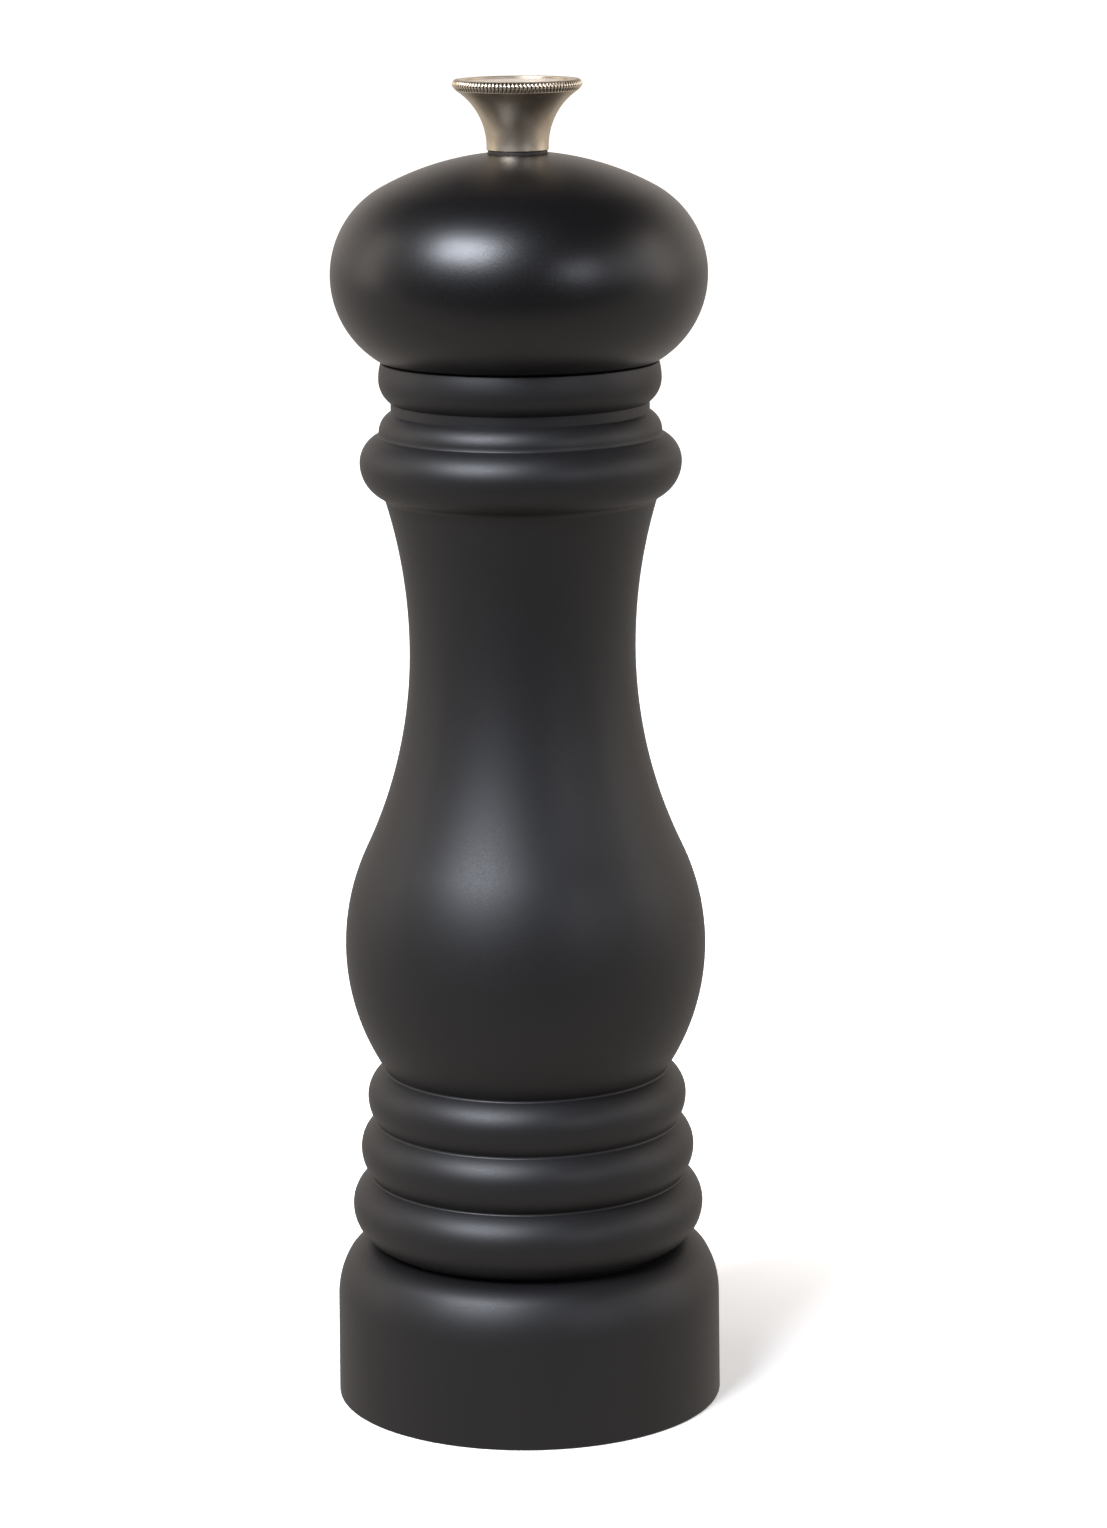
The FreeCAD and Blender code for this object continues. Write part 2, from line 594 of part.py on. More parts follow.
def make_bearing_sleeve():
    """Acetal sleeve in the bridge's hub, in which the bush turns."""
    body = new_body("bearing_sleeve", HUB_FOOT)
    revolve(body, "sleeve", [
        ("foot_in", BEARING_BORE, "0"),
        ("foot_out", HUB_BORE, "0"),
        ("top_out", HUB_BORE, "hub_height"),
        ("top_in", BEARING_BORE, "hub_height")])


def toothed_wire(radius, depth, teeth, height, turn):
    """A closed saw-tooth outline: tips at the radius, roots a tooth's depth further in."""
    points = []
    for index in range(2 * teeth):
        angle = math.radians(turn + index * 180.0 / teeth)
        reach = radius - depth * (index % 2)
        points.append(FreeCAD.Vector(reach * math.cos(angle), reach * math.sin(angle), height))
    return Part.makePolygon(points + points[:1])


def new_feature(label, shape, height):
    """A piece whose shape is made directly, placed at its seat's height."""
    piece = doc.addObject("Part::Feature", label)
    piece.Label = label
    piece.Shape = shape
    piece.Placement = FreeCAD.Placement(FreeCAD.Vector(0, 0, number(height)), FreeCAD.Rotation())
    bodies.append(piece)
    return piece


def make_stator():
    """Ceramic burr ring with slanted teeth on its inside: a band that widens downwards, where
    the pepper is ground, and a throat that widens upwards, where it is cracked."""
    teeth = int(number("stator_teeth"))
    depth = -number("stator_tooth_depth")
    twist = number("tooth_twist")
    height = number("stator_height")
    stretches = [("stator_mouth_radius", 0.0), ("stator_band_radius", number("stator_band_height")),
                 ("stator_feed_radius", height)]
    wires = [toothed_wire(number(radius), depth, teeth, level, -index * twist)
             for index, (radius, level) in enumerate(stretches)]
    hollow = Part.makeLoft(wires, True, True)
    ring = Part.makeCylinder(number(SKIRT_BORE + " - stator_play"), height)
    new_feature("stator", ring.cut(hollow), BURR_FOOT)


def make_rotor():
    """Ceramic cone with slanted teeth: its lower band runs parallel to the burr ring's."""
    teeth = int(number("rotor_teeth"))
    depth = number("rotor_tooth_depth")
    twist = number("tooth_twist")
    slope = number("(stator_mouth_radius - stator_band_radius) / stator_band_height")
    side = number("shaft_square + 2 * shaft_play + 2 * carrier_wall + 2 * carrier_play")
    foot = number("stator_mouth_radius - rotor_gap") + slope * number("rotor_drop")
    band = number("stator_band_radius - rotor_gap")
    top = side / math.sqrt(2) + number("rotor_top_wall + rotor_tooth_depth")
    stretches = [(foot, 0.0), (band, number("stator_band_height + rotor_drop")),
                 (top, number("rotor_height"))]
    wires = [toothed_wire(radius, depth, teeth, level, index * twist)
             for index, (radius, level) in enumerate(stretches)]
    cone = Part.makeLoft(wires, True, True)
    socket = Part.makeBox(side, side, number("rotor_height"), FreeCAD.Vector(-side / 2, -side / 2, 0))
    new_feature("rotor", cone.cut(socket), ROTOR_FOOT)


def make_burr_clamp():
    """Steel ring screwed under the housing's skirt; its lip holds the burr ring up."""
    body = new_body("burr_clamp", BURR_FOOT + " - clamp_lip_height - clamp_thickness")
    revolve(body, "ring", [
        ("hole_low", "clamp_hole_radius", "0"),
        ("edge_low", TUBE_RADIUS, "0"),
        ("edge_top", TUBE_RADIUS, "clamp_thickness"),
        ("lip_root", SKIRT_BORE + " - stator_play", "clamp_thickness"),
        ("lip_top", SKIRT_BORE + " - stator_play", "clamp_thickness + clamp_lip_height"),
        ("hole_top", "clamp_hole_radius", "clamp_thickness + clamp_lip_height")])
    hole = cut(body, "screw_hole", lambda s: draw_circle(s, "small_screw_radius", CLAMP_SCREWS),
               "0", "clamp_thickness")
    repeat_round(body, hole, "screw_count")
    countersink(body, "0", CLAMP_SCREWS, "small_screw_radius", "small_head_radius",
                "small_head_height")


def make_rotor_carrier():
    """Nylon carrier: a square sleeve keyed in the rotor, under a flange for the spring."""
    body = new_body("rotor_carrier", ROTOR_FOOT)
    bore = "shaft_square + 2 * shaft_play"
    pad(body, "sleeve", lambda s: draw_square(s, bore + " + 2 * carrier_wall"), "0", "rotor_height")
    pad(body, "flange", lambda s: draw_circle(s, SPRING_RADIUS + " + carrier_reach"), "rotor_height",
        "hub_flange_height")
    cut(body, "bore", lambda s: draw_square(s, bore), "0", "rotor_height + hub_flange_height")


def make_rotor_washer():
    """Steel washer that carries rotor and carrier on the shaft's tail."""
    body = new_body("rotor_washer", ROTOR_FOOT + " - tail_washer_height")
    revolve(body, "washer", [
        ("foot_in", "tail_radius + thread_play", "0"),
        ("foot_out", SLEEVE_CORNER + " + tail_washer_reach", "0"),
        ("top_out", SLEEVE_CORNER + " + tail_washer_reach", "tail_washer_height"),
        ("top_in", "tail_radius + thread_play", "tail_washer_height")])


def make_rotor_nut():
    """Hexagon nut on the shaft's tail."""
    body = new_body("rotor_nut", ROTOR_FOOT + " - tail_washer_height - nut_height")
    pad(body, "hexagon", lambda s: draw_hexagon(s, "nut_flats"), "0", "nut_height")
    cut(body, "bore", lambda s: draw_circle(s, "tail_radius + thread_play"), "0", "nut_height")


def make_shaft_bush():
    """Acetal bush with a square bore: it turns in the bridge and the shaft slides in it."""
    body = new_body("shaft_bush", BUSH_FOOT)
    top = "bush_flange_height + bush_height"
    groove = "bush_flange_height + bush_play + hub_height + bush_play"
    revolve(body, "bush", [
        ("middle_low", "0", "0"),
        ("flange_low", BUSH_RADIUS + " + bush_flange_reach", "0"),
        ("flange_top", BUSH_RADIUS + " + bush_flange_reach", "bush_flange_height"),
        ("sleeve_low", BUSH_RADIUS, "bush_flange_height"),
        ("groove_low", BUSH_RADIUS, groove),
        ("groove_foot", BUSH_RADIUS + " - clip_groove_depth", groove),
        ("groove_head", BUSH_RADIUS + " - clip_groove_depth", groove + " + clip_thickness"),
        ("groove_top", BUSH_RADIUS, groove + " + clip_thickness"),
        ("sleeve_top", BUSH_RADIUS, top),
        ("middle_top", "0", top)])
    cut(body, "bore", lambda s: draw_square(s, "shaft_square + 2 * shaft_play"), "0", top)


def make_bush_clip():
    """Spring-steel clip in the bush's groove, above the bearing."""
    body = new_body("bush_clip", HUB_FOOT + " + hub_height + bush_play")
    revolve(body, "clip", [
        ("foot_in", BUSH_RADIUS + " - clip_groove_depth", "0"),
        ("foot_out", BUSH_RADIUS + " + clip_reach", "0"),
        ("top_out", BUSH_RADIUS + " + clip_reach", "clip_thickness"),
        ("top_in", BUSH_RADIUS + " - clip_groove_depth", "clip_thickness")])
    cut(body, "mouth", lambda s: draw_outline(s, [
        ("a", "0", "-clip_opening / 2"), ("b", BUSH_RADIUS + " + clip_reach + 1", "-clip_opening / 2"),
        ("c", BUSH_RADIUS + " + clip_reach + 1", "clip_opening / 2"), ("d", "0", "clip_opening / 2")]),
        "0", "clip_thickness")


def make_spring_seat():
    """Steel washer between the spring and the bush."""
    body = new_body("spring_seat", SPRING_TOP)
    inside = "shaft_square / sqrt(2) + seat_play"
    revolve(body, "washer", [
        ("foot_in", inside, "0"),
        ("foot_out", SPRING_RADIUS + " + seat_reach", "0"),
        ("top_out", SPRING_RADIUS + " + seat_reach", "seat_height"),
        ("top_in", inside, "seat_height")])


def make_grinder_spring():
    """Steel coil spring that pushes the rotor down, away from the burr ring. Its wire is lofted
    through many-sided sections square to the helix."""
    wire = number("spring_wire") / 2
    mean = number("shaft_square / sqrt(2) + spring_play + spring_wire / 2")
    rise = number("((" + SPRING_TOP + ") - (" + SPRING_FOOT + ") - spring_wire) / spring_turns")
    lean = math.atan2(rise, 2 * math.pi * mean)
    sides = int(number("spring_sides"))
    steps = int(number("spring_steps"))
    sections = []
    for step in range(int(number("spring_turns")) * steps + 1):
        turn = FreeCAD.Rotation(FreeCAD.Vector(0, 0, 1), 360.0 * step / steps)
        middle = FreeCAD.Vector(mean, 0, rise * step / steps + wire)
        corners = []
        for corner in range(sides):
            angle = 2 * math.pi * corner / sides
            up = wire * math.sin(angle)
            offset = FreeCAD.Vector(wire * math.cos(angle), -up * math.sin(lean), up * math.cos(lean))
            corners.append(turn.multVec(middle + offset))
        sections.append(Part.makePolygon(corners + corners[:1]))
    new_feature("grinder_spring", Part.makeLoft(sections, True, True), SPRING_FOOT)


def make_drive_shaft():
    """Square steel bar with a turned and threaded end at each side."""
    body = new_body("drive_shaft", ROTOR_FOOT)
    square_top = SEAM + " + shaft_above_seam - (" + ROTOR_FOOT + ")"
    thread_top = KNOB_FOOT + " + shaft_thread_reach - (" + ROTOR_FOOT + ")"
    pad(body, "bar", lambda s: draw_square(s, "shaft_square"), "0", square_top)
    revolve(body, "tail", [
        ("middle_low", "0", "-tail_length"),
        ("tip", "tail_radius - shaft_bevel", "-tail_length"),
        ("tip_edge", "tail_radius", "shaft_bevel - tail_length"),
        ("root", "tail_radius", "0"),
        ("middle", "0", "0")])
    revolve(body, "thread", [
        ("middle_low", "0", square_top),
        ("root", "shaft_thread_radius", square_top),
        ("tip_edge", "shaft_thread_radius", thread_top + " - shaft_bevel"),
        ("tip", "shaft_thread_radius - shaft_bevel", thread_top),
        ("middle", "0", thread_top)])


# ---- head and its drive ------------------------------------------------------------------


def make_glide_ring():
    """Acetal ring on the head's spigot, running in the rebate of the body's lip."""
    body = new_body("glide_ring", "body_height - rebate_depth + ring_play / 2")
    inside = SPIGOT_RADIUS + " + ring_play"
    outside = MOUTH_RADIUS + " + rebate_width - ring_play"
    tall = "rebate_depth + seam_gap - ring_play"
    revolve(body, "ring", [
        ("foot_in", inside, "0"),
        ("foot_out", outside, "0"),
        ("top_out", outside, tall),
        ("top_in", inside, tall)])


def make_head_shell():
    """The hollow ABS head: a flattened ball with a boss under its crown."""
    body = new_body("head_shell", SEAM)
    rise = "(head_height - head_equator)"
    inner_radius = "head_radius - head_wall"
    inner_rise = "(head_height - head_wall - head_equator)"
    ledge = "plug_thickness + ledge_thickness"
    equator = ("height", "head_equator")
    revolve(body, "shell", [
        ("edge", "head_bottom_radius", "0", equator),
        ("equator", "head_radius", "head_equator", equator),
        ("crown_side", "(1 - crown_break_in) * head_radius",
         "head_equator + crown_break_up * " + rise, ("radius", "0")),
        ("crown", "0", "head_height"),
        ("crown_inside", "0", "head_height - head_wall", ("radius", "0")),
        ("inner_crown_side", "(1 - crown_break_in) * (" + inner_radius + ")",
         "head_equator + crown_break_up * " + inner_rise, equator),
        ("inner_equator", inner_radius, "head_equator", equator),
        ("ledge_out", HEAD_OPENING + " + head_ledge", ledge),
        ("ledge_in", HEAD_OPENING, ledge),
        ("opening", HEAD_OPENING, "0")])
    pad(body, "boss", lambda s: draw_circle(s, "crown_hole_play + shaft_thread_radius + head_boss_wall"),
        "head_height - head_boss_length", "head_boss_length - head_wall / 2")
    cut(body, "hole", lambda s: draw_circle(s, "crown_hole_play + shaft_thread_radius"),
        "head_height - head_boss_length", "head_boss_length")
    cut(body, "washer_seat", lambda s: draw_circle(s, WASHER_SEAT),
        "head_height - washer_recess_depth", "washer_recess_depth")


def make_head_plug():
    """ABS plug that closes the head: a disc with the spigot below and a guide tube above."""
    body = new_body("head_plug", SEAM)
    hole_radius = "shaft_square / sqrt(2) + plug_hole_play"
    revolve(body, "plug", [
        ("spigot_in", SPIGOT_BORE, "-spigot_length"),
        ("spigot_out", SPIGOT_RADIUS, "-spigot_length"),
        ("spigot_root", SPIGOT_RADIUS, "0"),
        ("disc_low", HEAD_OPENING + " - plug_play", "0"),
        ("disc_top", HEAD_OPENING + " - plug_play", "plug_thickness"),
        ("tube_root", hole_radius + " + plug_tube_wall", "plug_thickness"),
        ("tube_top", hole_radius + " + plug_tube_wall", "plug_thickness + plug_tube_length"),
        ("hole_top", hole_radius, "plug_thickness + plug_tube_length"),
        ("hole_low", hole_radius, "0"),
        ("disc_under", SPIGOT_BORE, "0")])
    hole = cut(body, "screw_hole", lambda s: draw_circle(s, "small_screw_radius", PLATE_SCREWS),
               "0", "plate_screw_length + small_head_height - plate_thickness")
    repeat_round(body, hole, "screw_count")


def make_drive_plate():
    """Steel plate with the square hole that takes the shaft round."""
    body = new_body("drive_plate", SEAM + " - plate_thickness")
    pad(body, "disc", lambda s: draw_circle(s, SPIGOT_BORE + " - plate_edge_gap"), "0",
        "plate_thickness")
    cut(body, "square", lambda s: draw_square(s, "shaft_square + 2 * plate_square_play"), "0",
        "plate_thickness")
    hole = cut(body, "screw_hole", lambda s: draw_circle(s, "small_screw_radius", PLATE_SCREWS),
               "0", "plate_thickness")
    repeat_round(body, hole, "screw_count")
    countersink(body, "0", PLATE_SCREWS, "small_screw_radius", "small_head_radius",
                "small_head_height")


# ---- knob --------------------------------------------------------------------------------


def make_knob_washer():
    """Steel washer in the crown's recess, on which the knob bears."""
    body = new_body("knob_washer", CROWN + " - washer_recess_depth + washer_play")
    tall = "washer_recess_depth + knob_gap - 2 * washer_play"
    revolve(body, "washer", [
        ("foot_in", "shaft_thread_radius + washer_hole_play", "0"),
        ("foot_out", WASHER_SEAT + " - 2 * washer_play", "0"),
        ("top_out", WASHER_SEAT + " - 2 * washer_play", tall),
        ("top_in", "shaft_thread_radius + washer_hole_play", tall)])


def make_knob():
    """Nickel-plated knob: a flared stem under a rim with fine notches, dished on top."""
    body = new_body("knob", KNOB_FOOT)
    rim_low = "knob_height - knob_rim_drop"
    socket = "insert_lift + insert_length"
    revolve(body, "turned", [
        ("foot_in", INSERT_RADIUS, "0"),
        ("foot", "knob_foot_radius", "0"),
        ("flare_foot", "knob_foot_radius", "knob_foot_height", ("height", "knob_foot_height")),
        ("flare_top", "knob_flare_radius", "knob_flare_height"),
        ("rim_low", "knob_rim_radius", rim_low + " + knob_rim_round"),
        ("rim_high", "knob_rim_radius", "knob_height - knob_rim_round"),
        ("rim_top", "knob_rim_radius - knob_rim_round", "knob_height"),
        ("dish_edge", "knob_dish_radius", "knob_height"),
        ("dish_side", "knob_dish_radius", "knob_height - knob_dish_depth"),
        ("dish_middle", "0", "knob_height - knob_dish_depth"),
        ("socket_middle", "0", socket),
        ("socket_side", INSERT_RADIUS, socket)])
    notch = cut(body, "notch", lambda s: draw_outline(s, [
        ("a", "knob_rim_radius - knurl_depth", "0"),
        ("b", "knob_rim_radius + knurl_depth", "-2 * knurl_depth"),
        ("c", "knob_rim_radius + knurl_depth", "2 * knurl_depth")]),
        rim_low + " + knob_rim_round", "knob_rim_drop - knob_rim_round")
    repeat_round(body, notch, "knurl_count")


def make_knob_cap():
    """Polished, slightly dished disc in the top of the knob."""
    body = new_body("knob_cap", KNOB_FOOT + " + knob_height - knob_dish_depth")
    revolve(body, "disc", [
        ("middle_low", "0", "0"),
        ("edge_low", "knob_dish_radius - washer_play", "0"),
        ("edge_top", "knob_dish_radius - washer_play", "cap_thickness", ("radius", "0")),
        ("middle_top", "0", "cap_thickness - cap_dish")])


def make_knob_insert():
    """Brass insert with the thread that runs on the shaft, anchored by a groove."""
    body = new_body("knob_insert", KNOB_FOOT + " + insert_lift")
    bore = "shaft_thread_radius + thread_play"
    waist = INSERT_RADIUS + " - insert_groove_depth"
    revolve(body, "insert", [
        ("foot_in", bore, "0"),
        ("foot_out", INSERT_RADIUS, "0"),
        ("groove_foot", INSERT_RADIUS, "insert_length * 0.4"),
        ("groove_low", waist, "insert_length * 0.45"),
        ("groove_high", waist, "insert_length * 0.55"),
        ("groove_head", INSERT_RADIUS, "insert_length * 0.6"),
        ("top_out", INSERT_RADIUS, "insert_length"),
        ("top_in", bore, "insert_length")])


make_body_shell()
make_grinder_housing()
make_bearing_sleeve()
make_stator()
make_burr_clamp()
screw_circle("housing_screws", "recess_depth - flange_thickness", HOUSING_SCREWS,
             "housing_screw_radius", "housing_screw_length", "housing_head_radius",
             "housing_head_height")
screw_circle("clamp_screws", BURR_FOOT + " - clamp_lip_height - clamp_thickness", CLAMP_SCREWS,
             "small_screw_radius", "clamp_screw_length", "small_head_radius", "small_head_height")
make_glide_ring()
make_head_shell()
make_head_plug()
make_drive_plate()
screw_circle("drive_plate_screws", SEAM + " - plate_thickness", PLATE_SCREWS,
             "small_screw_radius", "plate_screw_length", "small_head_radius", "small_head_height")
make_knob_washer()
make_knob()
make_knob_cap()
make_knob_insert()
make_shaft_bush()
make_bush_clip()
make_spring_seat()
make_grinder_spring()
make_drive_shaft()
make_rotor()
make_rotor_carrier()
make_rotor_washer()
make_rotor_nut()

# ---- checks and files --------------------------------------------------------------------

doc.recompute()
for item in doc.Objects:
    assert not {"Invalid", "Error"} & set(item.State), item.Name + " failed: " + str(item.State)
for piece in bodies:
    assert not piece.Shape.isNull() and piece.Shape.isValid(), piece.Label + " has no valid shape"

os.makedirs("parts", exist_ok=True)
for piece in bodies:
    piece.Shape.exportStep(os.path.join("parts", piece.Label + ".step"))
    solids = len(piece.Shape.Solids)
    print("%-20s %d solid(s) %10.1f mm3" % (piece.Label, solids, piece.Shape.Volume))
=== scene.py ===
import bpy
import math
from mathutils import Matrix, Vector


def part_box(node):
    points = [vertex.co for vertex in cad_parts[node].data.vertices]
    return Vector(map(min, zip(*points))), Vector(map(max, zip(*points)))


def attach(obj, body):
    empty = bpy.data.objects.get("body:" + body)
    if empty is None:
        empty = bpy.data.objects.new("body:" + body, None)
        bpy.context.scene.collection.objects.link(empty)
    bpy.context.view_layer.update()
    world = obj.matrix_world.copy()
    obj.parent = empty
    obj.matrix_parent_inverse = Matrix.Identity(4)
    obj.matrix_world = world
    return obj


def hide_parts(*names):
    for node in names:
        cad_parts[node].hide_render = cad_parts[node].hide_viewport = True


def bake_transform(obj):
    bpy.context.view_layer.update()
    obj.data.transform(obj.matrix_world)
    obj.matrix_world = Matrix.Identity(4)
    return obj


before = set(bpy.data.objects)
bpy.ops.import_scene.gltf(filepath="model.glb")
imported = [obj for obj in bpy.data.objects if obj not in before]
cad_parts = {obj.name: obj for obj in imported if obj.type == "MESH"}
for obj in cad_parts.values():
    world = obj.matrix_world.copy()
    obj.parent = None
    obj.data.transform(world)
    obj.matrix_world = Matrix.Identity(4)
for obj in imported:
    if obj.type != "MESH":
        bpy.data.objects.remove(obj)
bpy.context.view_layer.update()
bpy.ops.object.select_all(action="DESELECT")
mm = 0.001


# ---- Camera ------------------------------------------------------------------------------
# A long lens a little above the mill's head, turned down towards its waist.

camera_distance = 724 * mm
camera_height = 253.6 * mm
camera_pitch = math.radians(11.76)
camera_yaw = math.radians(-0.37)
camera_roll = math.radians(-0.5)
bpy.ops.object.camera_add(location=(0, -camera_distance, camera_height))
camera = bpy.context.object
camera.name = "camera"
facing = Vector((-math.sin(camera_yaw), math.cos(camera_yaw), 0)) * math.cos(camera_pitch)
facing.z = -math.sin(camera_pitch)
camera.rotation_euler = facing.to_track_quat("-Z", "Y").to_euler()
camera.rotation_euler.rotate_axis("Z", camera_roll)
camera.data.lens = 110.5
camera.data.sensor_width = 36
camera.data.clip_start = 0.01
bpy.context.scene.camera = camera
bpy.context.scene.view_settings.view_transform = "Standard"


# ---- Floor and studio light --------------------------------------------------------------
# A white sweep under and behind the mill, a large soft light high on the left, a weaker one
# on the right, and a pale room that is darker on the viewer's side.

def add_node(tree, kind, settings=(), **links):
    """Add a node with its settings, and link or set its inputs by name."""
    node = tree.nodes.new(kind)
    for name, value in dict(settings).items():
        setattr(node, name, value)
    for name, value in links.items():
        key = name.replace("_", " ") if name[0].isupper() else int(name[1:])
        socket = node.inputs[key]
        if isinstance(value, bpy.types.NodeSocket):
            tree.links.new(value, socket)
        else:
            socket.default_value = value
    return node


def linear(hex_colour):
    """An sRGB hex colour as the linear values that a shader takes."""
    channels = [int(hex_colour[place:place + 2], 16) / 255 for place in (1, 3, 5)]
    curve = [c / 12.92 if c <= 0.04045 else ((c + 0.055) / 1.055) ** 2.4 for c in channels]
    return (*curve, 1.0)


def new_material(name):
    """An empty node material and its tree, with the output in place."""
    material = bpy.data.materials.new(name)
    material.use_nodes = True
    tree = material.node_tree
    tree.nodes.clear()
    output = tree.nodes.new("ShaderNodeOutputMaterial")
    return material, tree, output.inputs["Surface"]


bpy.ops.mesh.primitive_plane_add(size=80, location=(0, 0, 0))
floor = bpy.context.object
floor.name = "floor"
paper, tree, surface = new_material("matt_white_paper")
position = add_node(tree, "ShaderNodeTexCoord").outputs["Object"]
fibre = add_node(tree, "ShaderNodeTexNoise", Vector=position, Scale=0.9 / mm, Detail=3.0)
tone = add_node(tree, "ShaderNodeValToRGB", Fac=fibre.outputs["Fac"])
tone.color_ramp.elements[0].color = linear("#f1f0ef")
tone.color_ramp.elements[1].color = linear("#f8f7f6")
lit = add_node(tree, "ShaderNodeBsdfDiffuse", Color=tone.outputs["Color"])
reach = add_node(tree, "ShaderNodeVectorMath", {"operation": "LENGTH"}, Vector=position)
lift = add_node(tree, "ShaderNodeMapRange", {"interpolation_type": "SMOOTHSTEP"},
                Value=reach.outputs["Value"], From_Min=30 * mm, From_Max=130 * mm,
                To_Min=0.45, To_Max=1.0)
glow = add_node(tree, "ShaderNodeEmission", Color=linear("#fffdfb"), Strength=lift.outputs["Result"])
bright = add_node(tree, "ShaderNodeAddShader", _0=lit.outputs["BSDF"], _1=glow.outputs["Emission"])
depth = add_node(tree, "ShaderNodeSeparateXYZ", Vector=position)
fade = add_node(tree, "ShaderNodeMapRange", {"interpolation_type": "SMOOTHSTEP"},
                Value=depth.outputs["Y"], From_Min=-500 * mm, From_Max=-150 * mm,
                To_Min=0.03, To_Max=0.62)
bounce = add_node(tree, "ShaderNodeEmission", Color=linear("#fff6ee"),
                  Strength=fade.outputs["Result"])
seen = add_node(tree, "ShaderNodeLightPath").outputs["Is Camera Ray"]
choice = add_node(tree, "ShaderNodeMixShader", _0=seen, _1=bounce.outputs["Emission"],
                  _2=bright.outputs["Shader"])
tree.links.new(choice.outputs["Shader"], surface)
floor.data.materials.append(paper)

world = bpy.data.worlds.new("studio")
bpy.context.scene.world = world
world.use_nodes = True
tree = world.node_tree
tree.nodes.clear()
direction = add_node(tree, "ShaderNodeTexCoord").outputs["Generated"]
parts = add_node(tree, "ShaderNodeSeparateXYZ", Vector=direction)
behind = add_node(tree, "ShaderNodeMapRange", {"interpolation_type": "SMOOTHSTEP"},
                  Value=parts.outputs["Y"], From_Min=-0.7, From_Max=0.5, To_Min=0.0, To_Max=1.0)
low = add_node(tree, "ShaderNodeMapRange", {"interpolation_type": "SMOOTHSTEP"},
               Value=parts.outputs["Z"], From_Min=0.3, From_Max=0.75, To_Min=0.95, To_Max=0.04)
share = add_node(tree, "ShaderNodeMath", {"operation": "MULTIPLY"}, _0=behind.outputs["Result"],
                 _1=low.outputs["Result"])
power = add_node(tree, "ShaderNodeMath", {"operation": "ADD"}, _0=share.outputs["Value"], _1=0.015)
seen = add_node(tree, "ShaderNodeLightPath").outputs["Is Camera Ray"]
room = add_node(tree, "ShaderNodeBackground", Color=linear("#fff4ea"),
                Strength=power.outputs["Value"])
backdrop = add_node(tree, "ShaderNodeBackground", Color=linear("#ffffff"), Strength=1.0)
choice = add_node(tree, "ShaderNodeMixShader", _0=seen, _1=room.outputs["Background"],
                  _2=backdrop.outputs["Background"])
output = tree.nodes.new("ShaderNodeOutputWorld")
tree.links.new(choice.outputs["Shader"], output.inputs["Surface"])


def add_softbox(name, azimuth, elevation, distance, width, height, power, colour):
    """A rectangular soft light that faces the mill's shoulder, by its direction from there."""
    target = Vector((0, 0, 120 * mm))
    turn, rise = math.radians(azimuth), math.radians(elevation)
    level = math.cos(rise)
    away = Vector((math.sin(turn) * level, -math.cos(turn) * level, math.sin(rise)))
    bpy.ops.object.light_add(type="AREA", location=target + away * distance)
    light = bpy.context.object
    light.name = name
    light.rotation_euler = (-away).to_track_quat("-Z", "Y").to_euler()
    light.data.shape = "RECTANGLE"
    light.data.size = width
    light.data.size_y = height
    light.data.energy = power
    light.data.color = linear(colour)[:3]


add_softbox("key_softbox", -38, 42, 1.2, 0.58, 0.42, 27, "#eef3ff")
add_softbox("fill_softbox", 38, 19, 1.2, 0.40, 0.35, 2.6, "#f0f3ff")
add_softbox("side_panel", 75, 18, 1.2, 0.70, 0.50, 1.4, "#f4f5ff")
add_softbox("left_strip", -102, 18, 1.2, 0.40, 0.8, 1.6, "#fff6ee")
add_softbox("right_strip", 98, 18, 1.2, 0.40, 0.8, 1.6, "#fff6ee")


# ---- Body shell --------------------------------------------------------------------------
# Injection-moulded black ABS in one piece: a stepped base, three rings, belly, waist and a
# beaded neck. It is hollow: a recess for the grinder below, the pepper chamber above.

# How far a round cut may stray from its arc, in millimetres, how near two points count as one,
# and the sharpest turn that still shades smooth.
arc_fineness = 0.004
weld_distance = 0.002 * mm
crease = math.radians(32)


def arc_middle(start, finish, level=None, across=None):
    """Middle of the arc through two points, from its height or its distance from the axis."""
    (x1, y1), (x2, y2) = start, finish
    if across is None:
        offset = x1 ** 2 - x2 ** 2 + (y1 - level) ** 2 - (y2 - level) ** 2
        return offset / (2 * (x1 - x2)), level
    offset = y1 ** 2 - y2 ** 2 + (x1 - across) ** 2 - (x2 - across) ** 2
    return across, offset / (2 * (y1 - y2))


